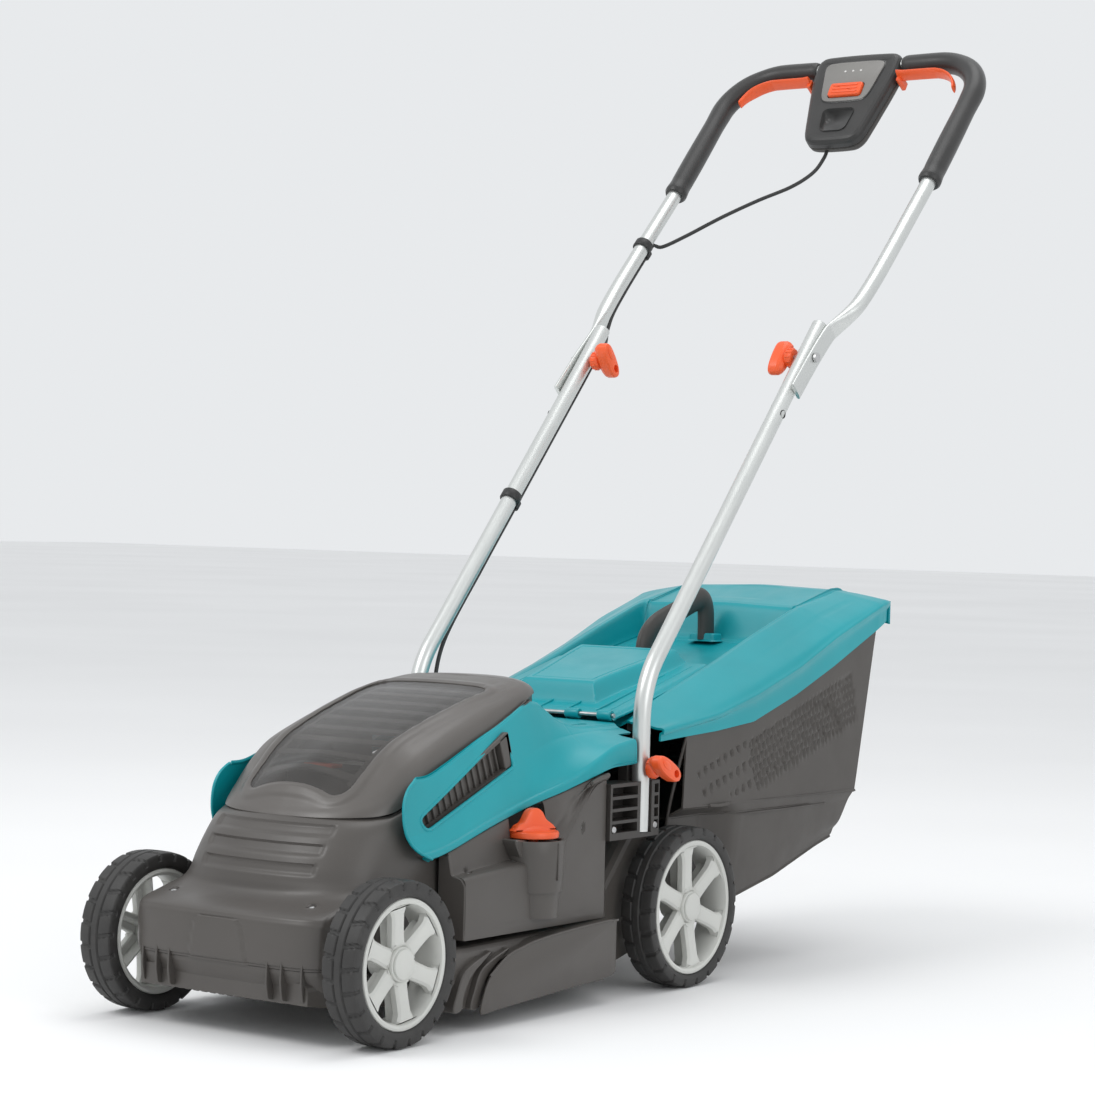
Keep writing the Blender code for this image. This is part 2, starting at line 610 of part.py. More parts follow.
def build_grass_box():
    tub_stations = [
        # y, top half width, top, waist half width, foot half width, bottom, lean of the section
        (-0.022, 0.163, 0.292, 0.138, 0.128, 0.100, 0.0),
        (0.055, 0.168, 0.298, 0.138, 0.130, 0.080, 0.0),
        (0.090, 0.1705, 0.302, 0.162, 0.148, 0.080, 0.0),
        (0.200, 0.1745, 0.333, 0.166, 0.152, 0.104, 0.0),
        (0.300, 0.1765, 0.372, 0.166, 0.151, 0.132, 0.0),
        (0.340, 0.1770, 0.404, 0.165, 0.150, 0.141, 0.20),
    ]
    rings = []
    for y, top_w, top, waist_w, foot_w, bottom, lean in tub_stations:
        half = [(foot_w - 0.020, bottom), (foot_w, bottom + 0.018), (waist_w, 0.188), (top_w - 0.003, 0.205),
                (top_w, top)]
        ring = [(x, y + lean * (z - bottom), z) for x, z in half]
        rings.append([(-x, ry, z) for x, ry, z in ring[::-1]] + ring)
    tub = place("grass_box_tub", loft_bm(rings, back=True), DARK, closed=False)
    wall(tub, COVER_WALL)

    lid_stations = [
        # y, half width, skirt foot, edge, shoulder, inner, centre
        (-0.075, 0.1660, 0.2825, 0.296, 0.303, 0.298, 0.298),
        (-0.030, 0.1700, 0.2860, 0.303, 0.322, 0.311, 0.311),
        (0.030, 0.1740, 0.2900, 0.312, 0.341, 0.328, 0.328),
        (0.107, 0.1780, 0.2980, 0.332, 0.366, 0.350, 0.350),
        (0.200, 0.1810, 0.3270, 0.362, 0.398, 0.368, 0.368),
        (0.285, 0.1830, 0.3590, 0.397, 0.425, 0.386, 0.386),
        (0.296, 0.1832, 0.3640, 0.402, 0.428, 0.427, 0.430),
        (0.395, 0.1840, 0.4040, 0.434, 0.449, 0.450, 0.453),
        (0.428, 0.1780, 0.4150, 0.438, 0.447, 0.448, 0.450),
    ]
    rings = []
    for y, width, foot, edge, shoulder, inner, centre in lid_stations:
        half = [(width, y, foot), (width - 0.001, y, edge - 0.004), (width - 0.006, y, edge),
                (0.1180, y, shoulder), (0.1080, y, inner)]
        rings.append(mirrored(half, (0.0, y, centre)))
    lid = place("grass_box_lid", loft_bm(rings, back=True), TEAL, closed=False)
    wall(lid, COVER_WALL)

    bar = [((0, 0.128, 0.3575), 0.015, 0.008), ((0, 0.131, 0.384), 0.015, 0.008), ((0, 0.150, 0.403), 0.015, 0.008),
           ((0, 0.200, 0.4215), 0.015, 0.008), ((0, 0.245, 0.436), 0.015, 0.008), ((0, 0.266, 0.426), 0.015, 0.008),
           ((0, 0.270, 0.3855), 0.015, 0.008)]
    bar = [(point, tall, flat) for point, flat, tall in bar]
    place("grass_box_handle", solid_sweep(bar, X_AXIS, 8), DARK)


def cross_rod(side, y, z, x0, x1, radius, segments=12):
    return rod_bm((side * x0, y, z), (side * x1, y, z), radius, segments)


def wing_knob(name, side, y, z, x0, x1):
    """Knob of a lens-shaped outline, 49 mm tall, between x0 and x1."""
    origin = (side * x0, y, z)
    outline = []
    for sign in (1, -1):
        for i in range(5):
            height = sign * (-0.0245 + 0.049 * i / 5)
            outline.append((side * x0, y + sign * 0.0085 * (1 - (height / 0.0245) ** 2) + sign * 0.001, z + height))
    knob = place(name, prism_bm(outline, (side * (x1 - x0), 0, 0)), ORANGE, origin)
    depth = math.copysign(0.018, x1 - x0)
    combine(knob, cutter(f"{name}_cut", cross_rod(side, y, z, x0 - depth, x0 + depth, 0.0036)))
    return knob


def build_lower_handle():
    reach = BEND_RADIUS * math.tan((math.pi / 2 - TUBE_SLOPE) / 2)
    for name, side in SIDES.items():
        points = [Vector((side * TUBE_X, TUBE_Y, TUBE_FOOT_Z))]
        for i in range(6):
            turn = (math.pi / 2 - TUBE_SLOPE) * i / 5
            points.append(Vector((side * TUBE_X, TUBE_Y + BEND_RADIUS * (1 - math.cos(turn)),
                                  BEND_Z - reach + BEND_RADIUS * math.sin(turn))))
        points.append(tube_point(TUBE_TOP_Y, side * TUBE_X))
        stations = [(point, TUBE_RADIUS, TUBE_RADIUS) for point in points]
        tube = place(f"lower_tube_{name}", hollow_sweep(stations, 0.0015, X_AXIS), ALUMINIUM)
        holes = cross_rod(side, PIVOT_Y, PIVOT_Z, 0.14, 0.19, 0.0035)
        add_bm(holes, cross_rod(side, TUBE_Y, LOWER_BOLT_Z, 0.14, 0.19, 0.0035))
        add_bm(holes, cross_rod(side, 0.160, tube_point(0.160).z, 0.14, 0.19, 0.0035))
        combine(tube, cutter(f"tube_holes_{name}", holes))

        bolt = place(f"lower_bolt_{name}", cross_rod(side, TUBE_Y, LOWER_BOLT_Z, 0.1355, 0.1402, 0.006), STEEL)
        combine(bolt, cutter(f"lower_shank_{name}", cross_rod(side, TUBE_Y, LOWER_BOLT_Z, 0.139, 0.190, 0.0032)), "UNION")
        wing_knob(f"lower_knob_{name}", side, TUBE_Y, LOWER_BOLT_Z, TUBE_X + TUBE_RADIUS + 0.003, 0.203)

        bolt = place(f"upper_bolt_{name}", cross_rod(side, PIVOT_Y, PIVOT_Z, 0.1778, 0.1810, 0.006), STEEL)
        combine(bolt, cutter(f"upper_shank_{name}", cross_rod(side, PIVOT_Y, PIVOT_Z, 0.132, 0.179, 0.0032)), "UNION")
        wing_knob(f"upper_knob_{name}", side, PIVOT_Y, PIVOT_Z, TUBE_X - TUBE_RADIUS - 0.003, 0.119)


def handle_stations(side):
    """Upper handle from its flattened foot to the start of the crossbar."""
    foot = [
        # x, y, z, half thickness, half height
        (0.1745, 0.182, 0.6925, 0.0025, 0.0120),
        (0.1745, 0.222, 0.7330, 0.0025, 0.0120),
        (0.1745, 0.256, 0.7645, 0.0025, 0.0120),
        (0.1770, 0.268, 0.7745, 0.0040, 0.0115),
        (0.1840, 0.286, 0.7895, 0.0075, 0.0105),
        (0.1895, 0.304, 0.8060, 0.0098, 0.0098),
        (0.1925, 0.335, 0.8370, 0.0098, 0.0098),
    ]
    stations = [(Vector((side * x, y, z)), thick, tall) for x, y, z, thick, tall in foot]
    stations.append((shaft_point(side * HANDLE_X, GRIP_FOOT_Y - 0.004), BAR_RADIUS, BAR_RADIUS))
    return stations


def build_upper_handle():
    origin = (0, PIVOT_Y, PIVOT_Z)
    stations = handle_stations(1)
    stations += [(point, BAR_RADIUS, BAR_RADIUS) for point in corner_points(1)]
    other = handle_stations(-1) + [(point, BAR_RADIUS, BAR_RADIUS) for point in corner_points(-1)]
    handle = place("upper_handle", solid_sweep(stations + other[::-1], HANDLE_NORMAL), ALUMINIUM, origin)
    holes = cross_rod(1, PIVOT_Y, PIVOT_Z, 0.165, 0.19, 0.0035)
    add_bm(holes, cross_rod(-1, PIVOT_Y, PIVOT_Z, 0.165, 0.19, 0.0035))
    combine(handle, cutter("handle_holes", holes))
    for name, side in SIDES.items():
        below = (BAR_Y - GRIP_FOOT_Y) / math.cos(HANDLE_SLOPE)
        points = [handle_point(side * HANDLE_X, below)] + corner_points(side)
        points.append(handle_point(side * (CONSOLE_HALF_WIDTH + 0.0015), 0))
        stations = [(point, GRIP_RADIUS, GRIP_RADIUS) for point in points]
        place(f"grip_{name}", hollow_sweep(stations, GRIP_RADIUS - BAR_RADIUS - GAP, HANDLE_NORMAL), GRIP, origin)


def console_outline(grow, out, top=0.016, bottom=-0.138):
    """Rounded shield of the console, at a height out of the handle's plane."""
    right = [(0.030, bottom), (0.040, bottom + 0.006), (0.047, bottom + 0.020), (0.062, -0.045),
             (CONSOLE_HALF_WIDTH, -0.010), (0.062, top - 0.008), (0.052, top)]
    right = [(x + grow, up + math.copysign(grow, up)) for x, up in right]
    return [console_point(x, up, out) for x, up in right + [(-x, up) for x, up in right[::-1]]]


def console_box(x, up0, up1, out0, out1, bevel=0.0):
    """Box that lies in the console's plane, centred on the middle line."""
    bm = box_bm((-x, up0, out0), (x, up1, out1), bevel)
    frame = Matrix((X_AXIS, CONSOLE_UP, CONSOLE_OUT)).transposed().to_4x4()
    bmesh.ops.transform(bm, matrix=Matrix.Translation(BAR) @ frame, verts=bm.verts)
    return bm


LEVER_UP, LEVER_OUT = -0.030, -0.008       # start levers' axis, from the crossbar


def build_console():
    origin = (0, PIVOT_Y, PIVOT_Z)
    for name, low, high, grow in (("console_front", 0.0002, 0.016, -0.005), ("console_back", -0.014, -0.0002, -0.003)):
        outer, inner = (high, low) if name == "console_front" else (low, high)
        face = console_outline(grow, outer)
        seam = console_outline(0.0, inner)
        mid = console_outline(0.0, outer * 0.65)
        bm = bmesh.new()
        rings = [[bm.verts.new(point) for point in ring] for ring in (seam, mid, face)]
        count = len(seam)
        for near, far in zip(rings, rings[1:]):
            for i in range(count):
                j = (i + 1) % count
                bm.faces.new((near[i], near[j], far[j], far[i]))
        bm.faces.new(rings[0])
        bm.faces.new(rings[-1])
        shell = place(name, bm, GRIP, origin)
        bore = BAR_RADIUS + GAP
        combine(shell, cutter(f"{name}_bore", rod_bm(BAR - X_AXIS * 0.08, BAR + X_AXIS * 0.08, bore, 12)))
        pocket = (-0.001, 0.011) if name == "console_front" else (-0.0115, 0.001)
        combine(shell, cutter(f"{name}_pocket", console_box(0.036, -0.115, -0.020, *pocket)))
    front = bpy.data.objects["console_front"]
    back = bpy.data.objects["console_back"]
    combine(front, cutter("button_hole", console_box(0.0262, -0.0640, -0.0400, 0.008, 0.02)))
    for name, side in SIDES.items():
        combine(back, cutter(f"lever_hole_{name}", rod_bm(console_point(side * 0.03, LEVER_UP, LEVER_OUT),
                                                         console_point(side * 0.08, LEVER_UP, LEVER_OUT), 0.0036, 12)))
    exit_x = -0.012
    combine(back, cutter("cable_hole", rod_bm(console_point(exit_x, -0.13, -0.006), console_point(exit_x, -0.15, -0.006),
                                              0.0030, 10)))
    panel = place("console_panel", prism_bm([console_point(x, up, 0.0163) for x, up in (
        (0.030, -0.070), (0.036, -0.060), (0.046, -0.012), (0.042, -0.004), (-0.042, -0.004), (-0.046, -0.012),
        (-0.036, -0.060), (-0.030, -0.070))], CONSOLE_OUT * 0.0015), PANEL, origin)
    combine(panel, cutter("panel_hole", console_box(0.0258, -0.0635, -0.0405, 0.012, 0.03)))
    place("safety_button", console_box(0.0250, -0.0630, -0.0410, 0.0125, 0.0225, 0.002), ORANGE,
          console_point(0, -0.052, 0.0125))


def build_levers():
    for name, side in SIDES.items():
        origin = console_point(0, LEVER_UP, LEVER_OUT)
        inset = 0.0275
        shift = CONSOLE_OUT * 0.006
        path = [console_point(side * (CONSOLE_HALF_WIDTH + 0.0030), 0, 0) - HANDLE_UP * inset + shift]
        path += [point + shift for point in corner_points(side, inset, 12.0, 90.0, 5)[::-1]]
        stations = [(point, 0.0055, 0.0065) for point in path]
        lever = place(f"start_lever_{name}", solid_sweep(stations, HANDLE_NORMAL, 8), ORANGE, origin)
        low, high = sorted((side * 0.0665, side * 0.0720))
        arm = box_bm((low, -0.034, -0.012), (high, -0.022, 0.010))
        frame = Matrix((X_AXIS, CONSOLE_UP, CONSOLE_OUT)).transposed().to_4x4()
        bmesh.ops.transform(arm, matrix=Matrix.Translation(BAR) @ frame, verts=arm.verts)
        combine(lever, cutter(f"lever_arm_{name}", arm), "UNION")
        combine(lever, cutter(f"lever_stub_{name}", rod_bm(console_point(side * 0.050, LEVER_UP, LEVER_OUT),
                                                          console_point(side * 0.070, LEVER_UP, LEVER_OUT), 0.0032, 12)),
                "UNION")


CABLE_RADIUS = 0.0025


def smooth_points(route, spacing):
    """Catmull-Rom curve through the route, read every spacing or so."""
    points = [Vector(point) for point in route]
    line = [points[0]]
    padded = [2 * points[0] - points[1]] + points + [2 * points[-1] - points[-2]]
    for a, b, c, d in zip(padded, padded[1:], padded[2:], padded[3:]):
        steps = max(1, round((c - b).length / spacing))
        for i in range(1, steps + 1):
            t = i / steps
            line.append(0.5 * (2 * b + (c - a) * t + (2 * a - 5 * b + 4 * c - d) * t ** 2
                               + (3 * b - a - 3 * c + d) * t ** 3))
    return line


def cable_piece(name, points, origin):
    curve = bpy.data.curves.new(name, "CURVE")
    curve.dimensions = "3D"
    curve.bevel_depth = CABLE_RADIUS
    curve.bevel_resolution = 2
    curve.use_fill_caps = True
    spline = curve.splines.new("POLY")
    spline.points.add(len(points) - 1)
    for knot, point in zip(spline.points, points):
        knot.co = (*(point - Vector(origin)), 1.0)
    curve.materials.append(material(BLACK))
    thing = bpy.data.objects.new(name, curve)
    thing.location = origin
    collection("mower").objects.link(thing)


def build_cable():
    behind = 0.0145                  # cable's middle line behind the tube's
    shaft_up = Vector((0, math.cos(SHAFT_SLOPE), math.sin(SHAFT_SLOPE)))
    handle_back = Vector((0, math.sin(SHAFT_SLOPE), -math.cos(SHAFT_SLOPE))) * behind
    tube_back = Vector((0, math.sin(TUBE_SLOPE), -math.cos(TUBE_SLOPE))) * behind
    upper = [console_point(-0.012, -0.1335, -0.006), console_point(-0.012, -0.150, -0.006), (-0.0190, 0.5400, 1.0050),
             (-0.0400, 0.5200, 0.9850), (-0.0800, 0.5000, 0.9660), (-0.1200, 0.4750, 0.9430),
             (-0.1600, 0.4470, 0.9160), (-0.1850, 0.4290, 0.9010)]
    upper += [shaft_point(-HANDLE_X, y) + handle_back for y in (0.409, 0.395, 0.381)]
    upper += [shaft_point(-0.1925, 0.345) + handle_back, shaft_point(-0.1895, 0.312) + handle_back]
    meeting = Vector((-0.1840, 0.3015, 0.7790))
    upper.append(meeting + shaft_up * 0.0007)
    lower = [meeting - shaft_up * 0.0007, (-0.1730, 0.2820, 0.7615), tube_point(0.246, -0.1625) + tube_back]
    lower += [tube_point(y, -TUBE_X) + tube_back for y in (0.215, 0.160, 0.080, 0.067, 0.054, 0.000)]
    lower += [(-0.1600, -0.0620, 0.3860), (-0.1530, -0.0900, 0.3300), (-0.1440, -0.0960, 0.2990)]
    cable_piece("switch_cable_upper", smooth_points(upper, 0.016), (0, PIVOT_Y, PIVOT_Z))
    cable_piece("switch_cable_lower", smooth_points(lower, 0.022), (0, 0, 0))

    for name, point, along, back, radius in (
            ("cable_clip_upper", shaft_point(-HANDLE_X, 0.395), shaft_up, handle_back, BAR_RADIUS),
            ("cable_clip_lower", tube_point(0.067, -TUBE_X), TUBE_UP, tube_back, TUBE_RADIUS)):
        ends = (point - along * 0.006, point + along * 0.006)
        clip = place(name, rod_bm(*ends, radius + 0.0028, 20), BLACK,
                     (0, PIVOT_Y, PIVOT_Z) if name.endswith("upper") else (0, 0, 0))
        short = along * 0.0005
        combine(clip, cutter(f"{name}_barrel", rod_bm(ends[0] + back + short, ends[1] + back - short,
                                                      CABLE_RADIUS + 0.0026, 14)), "UNION")
        far = along * 0.02
        combine(clip, cutter(f"{name}_cut", rod_bm(ends[0] - far, ends[1] + far, radius + 0.0009, 20)))
        combine(clip, cutter(f"{name}_cable_cut", rod_bm(ends[0] + back - far, ends[1] + back + far,
                                                         CABLE_RADIUS + 0.0008, 14)))


def main():
    clear_scene()
    build_deck()
    build_motor_cover()
    build_battery_lid()
    build_cowl()
    build_side_covers()
    build_side_combs()
    build_vent_grilles()
    build_brackets()
    build_motor_and_blade()
    build_battery()
    build_height_knob()
    build_wheels()
    build_rear_flap()
    build_grass_box()
    build_lower_handle()
    build_upper_handle()
    build_console()
    build_levers()
    build_cable()


main()
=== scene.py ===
"""Cordless rotary lawn mower with a grass box: the finished looks of its pieces."""

import math

import bmesh
import bpy
from mathutils import Matrix, Vector
from mathutils.bvhtree import BVHTree


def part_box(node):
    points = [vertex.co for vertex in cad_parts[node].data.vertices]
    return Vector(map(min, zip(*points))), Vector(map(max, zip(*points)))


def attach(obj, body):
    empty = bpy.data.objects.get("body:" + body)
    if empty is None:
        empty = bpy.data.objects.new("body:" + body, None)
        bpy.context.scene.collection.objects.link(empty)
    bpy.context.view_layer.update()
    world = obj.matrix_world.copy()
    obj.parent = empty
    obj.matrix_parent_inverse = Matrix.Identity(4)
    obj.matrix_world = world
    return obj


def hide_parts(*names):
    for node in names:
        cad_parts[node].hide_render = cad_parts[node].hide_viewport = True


bl_info = {"name": "Rotary Lawn Mower", "version": (1, 0, 0), "blender": (4, 5, 0),
    "location": "View3D > Sidebar > Mower",
    "description": "Builds the panels, wheels, handle and grass box of a cordless lawn mower", "category": "Object",}

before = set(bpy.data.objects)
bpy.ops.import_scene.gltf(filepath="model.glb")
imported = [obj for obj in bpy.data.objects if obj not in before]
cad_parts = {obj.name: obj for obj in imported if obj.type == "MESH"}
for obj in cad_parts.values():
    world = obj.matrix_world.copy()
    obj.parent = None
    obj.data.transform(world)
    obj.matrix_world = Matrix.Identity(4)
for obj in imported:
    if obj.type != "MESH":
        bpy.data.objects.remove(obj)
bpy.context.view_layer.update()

SIDES = {"left": 1, "right": -1}
X_AXIS = Vector((1, 0, 0))
Y_AXIS = Vector((0, 1, 0))
Z_AXIS = Vector((0, 0, 1))

# Handle geometry, as the tubes' solids have it
TUBE_X = 0.1615
TUBE_Y = -0.115
BEND_Z = 0.348
TUBE_SLOPE = math.radians(49.0)
HANDLE_X = 0.1933
HANDLE_SLOPE = math.radians(48.0)
SHAFT_SLOPE = math.radians(45.5)
BAR = Vector((0, 0.6325, 1.155))
CORNER_RADIUS = 0.075
BAR_RADIUS = 0.0098
TUBE_RADIUS = 0.01
GRIP_FOOT_Y = 0.4693
CONSOLE_TILT = math.radians(57.0)
HANDLE_UP = Vector((0, math.cos(HANDLE_SLOPE), math.sin(HANDLE_SLOPE)))
HANDLE_NORMAL = Vector((0, -math.sin(HANDLE_SLOPE), math.cos(HANDLE_SLOPE)))
CONSOLE_UP = Vector((0, math.cos(CONSOLE_TILT), math.sin(CONSOLE_TILT)))
CONSOLE_OUT = Vector((0, -math.sin(CONSOLE_TILT), math.cos(CONSOLE_TILT)))
CONSOLE_FRAME = Matrix.Translation(BAR) @ Matrix((X_AXIS, CONSOLE_UP, CONSOLE_OUT)).transposed().to_4x4()


# Settings

class MowerColours(bpy.types.PropertyGroup):
    """Colours of the mower's mouldings."""

    cowl: bpy.props.FloatVectorProperty(name="Cowl", description="Colour of the cowl, flap and grass box lid",
        subtype="COLOR", size=3, default=(0.0, 0.3, 0.345), min=0, max=1)
    body: bpy.props.FloatVectorProperty(name="Body", description="Colour of the deck, hood and grass box",
        subtype="COLOR", size=3, default=(0.074, 0.067, 0.061), min=0, max=1)
    control: bpy.props.FloatVectorProperty(name="Controls", description="Colour of the knobs, levers and button",
        subtype="COLOR", size=3, default=(0.83, 0.105, 0.024), min=0, max=1)
    rim: bpy.props.FloatVectorProperty(name="Wheel rims", description="Colour of the wheel rims", subtype="COLOR",
        size=3, default=(0.575, 0.58, 0.55), min=0, max=1)
    tyre: bpy.props.FloatVectorProperty(name="Tyres", description="Colour of the tyres", subtype="COLOR", size=3,
        default=(0.026, 0.025, 0.024), min=0, max=1)
    grip: bpy.props.FloatVectorProperty(name="Grips", description="Colour of the soft grips and the console",
        subtype="COLOR", size=3, default=(0.018, 0.0175, 0.017), min=0, max=1)


class MowerSizes(bpy.types.PropertyGroup):
    """Counts and sizes of the mower's mouldings."""

    wall: bpy.props.FloatProperty(name="Panel wall", description="Thickness of the moulded panels", subtype="DISTANCE",
        unit="LENGTH", default=0.0025, min=0.001, max=0.005)
    tread_pitches: bpy.props.IntProperty(name="Tread blocks", description="Blocks round each tyre's shoulder",
        default=22, min=8, max=60)
    spokes: bpy.props.IntProperty(name="Spokes", description="Spokes of each wheel rim", default=6, min=3, max=12)
    slats: bpy.props.IntProperty(name="Vent slats", description="Slats of each side vent", default=14, min=4, max=30)
    louvre_depth: bpy.props.FloatProperty(name="Louvre depth", description="Depth of the three bands across the nose",
        subtype="DISTANCE", unit="LENGTH", default=0.0026, min=0, max=0.006)
    vent_rows: bpy.props.IntProperty(name="Vent rows", description="Rows of holes in the grass box's side", default=5,
        min=1, max=8)


# Mesh helpers

def sizes():
    return bpy.context.scene.mower_sizes


def spline(points, t):
    """Point at t, from 0 to 1, on a smooth curve through the points."""
    count = len(points) - 1
    x = min(max(t, 0), 1) * count
    i = min(int(x), count - 1)
    f = x - i
    b, c = points[i], points[i + 1]
    a = points[i - 1] if i else 2 * b - c
    d = points[i + 2] if i + 2 <= count else 2 * c - b
    return 0.5 * (2 * b + (c - a) * f + (2 * a - 5 * b + 4 * c - d) * f ** 2 + (3 * b - a - 3 * c + d) * f ** 3)


def table(rows, x):
    """Straight-line reading of rows of (x, value, ...) at x."""
    if x <= rows[0][0]:
        return rows[0][1:] if len(rows[0]) > 2 else rows[0][1]
    for near, far in zip(rows, rows[1:]):
        if x <= far[0]:
            f = (x - near[0]) / (far[0] - near[0])
            values = [a + (b - a) * f for a, b in zip(near[1:], far[1:])]
            return values if len(values) > 1 else values[0]
    return rows[-1][1:] if len(rows[-1]) > 2 else rows[-1][1]


def step(low, high, x):
    """Smooth rise from 0 at low to 1 at high."""
    t = min(max((x - low) / (high - low), 0), 1)
    return t * t * (3 - 2 * t)


def flipped(points):
    """The points on the mower's other side."""
    return [Vector((-p.x, p.y, p.z)) for p in points]


def mirrored(half):
    """Half a section that ends on the middle line, followed by its mirror image."""
    return half + flipped(half[-2::-1])


def sheet(place, across, along, inside=None, wrap=False):
    """Grid whose corners are moved to place(u, v); its faces look away from the point inside."""
    bm = bmesh.new()
    bmesh.ops.create_grid(bm, x_segments=across, y_segments=along, size=0.5)
    for vert in bm.verts:
        vert.co = place(vert.co.x + 0.5, vert.co.y + 0.5)
    if wrap:
        bmesh.ops.remove_doubles(bm, verts=bm.verts, dist=0.00001)
    bm.normal_update()
    if inside is not None:
        inside = Vector(inside)
        facing = sum(face.normal.dot(face.calc_center_median() - inside) * face.calc_area() for face in bm.faces)
        if facing < 0:
            bmesh.ops.reverse_faces(bm, faces=bm.faces[:])
    return bm


def net_sheet(net, across, along, inside):
    """Smooth sheet through a net of points: each row runs across, and the rows run along."""
    columns = {}

    def place(u, v):
        key = round(u, 6)
        if key not in columns:
            columns[key] = [spline(row, u) for row in net]
        return spline(columns[key], v)
    return sheet(place, across, along, inside)


def face_out(bm):
    bmesh.ops.recalc_face_normals(bm, faces=bm.faces[:])


def transform(bm, matrix):
    bmesh.ops.transform(bm, matrix=matrix, verts=bm.verts)


def flip(bm):
    """Move a shape to the mower's other side."""
    bmesh.ops.scale(bm, vec=(-1, 1, 1), verts=bm.verts)
    bmesh.ops.reverse_faces(bm, faces=bm.faces[:])


def drop_faces(bm, verts):
    """Delete the faces whose corners are all among verts."""
    bmesh.ops.delete(bm, geom=[face for face in bm.faces if verts.issuperset(face.verts)], context="FACES")


def side_frame(x=0, y=0, z=0, side=1):
    """Frame that stands an outline of (y, z) points up across the x axis."""
    return Matrix(((0, 0, side, x), (1, 0, 0, y), (0, 1, 0, z), (0, 0, 0, 1)))


def emboss(bm, height):
    """Move every corner along its normal by height(place)."""
    bm.normal_update()
    moved = [(vert, vert.co + vert.normal * height(vert.co)) for vert in bm.verts]
    for vert, place in moved:
        vert.co = place


def stack(outline, levels, frame_matrix=None):
    """Closed outline of (x, y) points as a solid: levels are (height, inset), from one end to the other."""
    count = len(outline)
    bm = bmesh.new()
    bmesh.ops.create_circle(bm, cap_ends=True, segments=count, radius=1.0)
    face = bm.faces[:][0]
    order = {tuple(round(c, 5) for c in vert.co): i for i, vert in enumerate(face.verts)}
    area = sum(a[0] * b[1] - b[0] * a[1] for a, b in zip(outline, outline[1:] + outline[:1]))
    turn = 1 if area > 0 else -1

    def ring(height, inset):
        places = []
        for i, (x, y) in enumerate(outline):
            before, after = Vector(outline[i - 1]), Vector(outline[(i + 1) % count])
            along = (after - before).normalized() * turn
            places.append(Vector((x - along.y * inset, y + along.x * inset, height)))
        return places

    index = [order[tuple(round(c, 5) for c in vert.co)] for vert in face.verts]
    for vert, i in zip(face.verts, index):
        vert.co = ring(*levels[0])[i]
    for level in levels[1:]:
        where = {tuple(round(c, 7) for c in vert.co): i for vert, i in zip(face.verts, index)}
        pushed = bmesh.ops.extrude_face_region(bm, geom=[face])
        face = next(item for item in pushed["geom"] if isinstance(item, bmesh.types.BMFace))
        index = [where[tuple(round(c, 7) for c in vert.co)] for vert in face.verts]
        places = ring(*level)
        for vert, i in zip(face.verts, index):
            vert.co = places[i]
    if frame_matrix is not None:
        transform(bm, frame_matrix)
    face_out(bm)
    return bm


def rounded(corners, radius, steps=6):
    """Outline of corner points with round corners."""
    points = []
    count = len(corners)
    for i, corner in enumerate(corners):
        corner = Vector(corner)
        to_last = (Vector(corners[i - 1]) - corner)
        to_next = (Vector(corners[(i + 1) % count]) - corner)
        reach = min(radius, to_last.length * 0.48, to_next.length * 0.48)
        start = corner + to_last.normalized() * reach
        end = corner + to_next.normalized() * reach
        for k in range(steps + 1):
            t = k / steps
            points.append(tuple(start * (1 - t) ** 2 + corner * 2 * t * (1 - t) + end * t ** 2))
    return points


def rectangle(left, low, right, high, radius, steps=6):
    """Outline of a rectangle with round corners."""
    return rounded([(left, low), (right, low), (right, high), (left, high)], radius, steps)


def smooth_outline(points, per_span=6):
    """Closed smooth outline through the points."""
    points = [Vector(point) for point in points]
    looped = points[-1:] + points + points[:2]
    outline = []
    for a, b, c, d in zip(looped, looped[1:], looped[2:], looped[3:]):
        for k in range(per_span):
            f = k / per_span
            outline.append(tuple(0.5 * (2 * b + (c - a) * f + (2 * a - 5 * b + 4 * c - d) * f ** 2 + (3 * b - a - 3 * c
                + d) * f ** 3)))
    return outline


def symmetric(half, per_span, x_sign=1, y_sign=1):
    """Closed smooth outline of a half, from axis to axis, and its mirror image."""
    return smooth_outline(half + [(x * x_sign, y * y_sign) for x, y in half[-2:0:-1]], per_span)


def sweep(path, radius, normal, sides=24, closed_ends=True, flat=None):
    """Round bar along a path of points. radius and flat are numbers, or read at 0 to 1 along it."""
    path = [Vector(point) for point in path]
    normal = Vector(normal).normalized()
    lengths = [0]
    for a, b in zip(path, path[1:]):
        lengths.append(lengths[-1] + (b - a).length)
    size = radius if callable(radius) else lambda t: radius
    tall = flat if callable(flat) else (size if flat is None else lambda t: flat)
    count = len(path) - 1

    def place(u, v):
        i = min(round(v * count), count)
        along = (path[min(i + 1, count)] - path[max(i - 1, 0)]).normalized()
        across = normal.cross(along).normalized()
        up = along.cross(across).normalized()
        t = lengths[i] / lengths[-1]
        angle = 2 * math.pi * u
        return path[i] + across * size(t) * math.cos(angle) + up * tall(t) * math.sin(angle)
    bm = sheet(place, sides, count, wrap=True)
    if closed_ends:
        bmesh.ops.holes_fill(bm, edges=[edge for edge in bm.edges if edge.is_boundary], sides=0)
    face_out(bm)
    return bm


def resample(points, count):
    """Smooth curve through the points, read at count + 1 even steps."""
    points = [Vector(point) for point in points]
    dense = [spline(points, i / (len(points) * 24)) for i in range(len(points) * 24 + 1)]
    lengths = [0]
    for a, b in zip(dense, dense[1:]):
        lengths.append(lengths[-1] + (b - a).length)
    line, k = [], 0
    for i in range(count + 1):
        want = lengths[-1] * i / count
        while k < len(dense) - 2 and lengths[k + 1] < want:
            k += 1
        span = max(lengths[k + 1] - lengths[k], 1e-9)
        line.append(dense[k].lerp(dense[k + 1], min(max((want - lengths[k]) / span, 0), 1)))
    return line


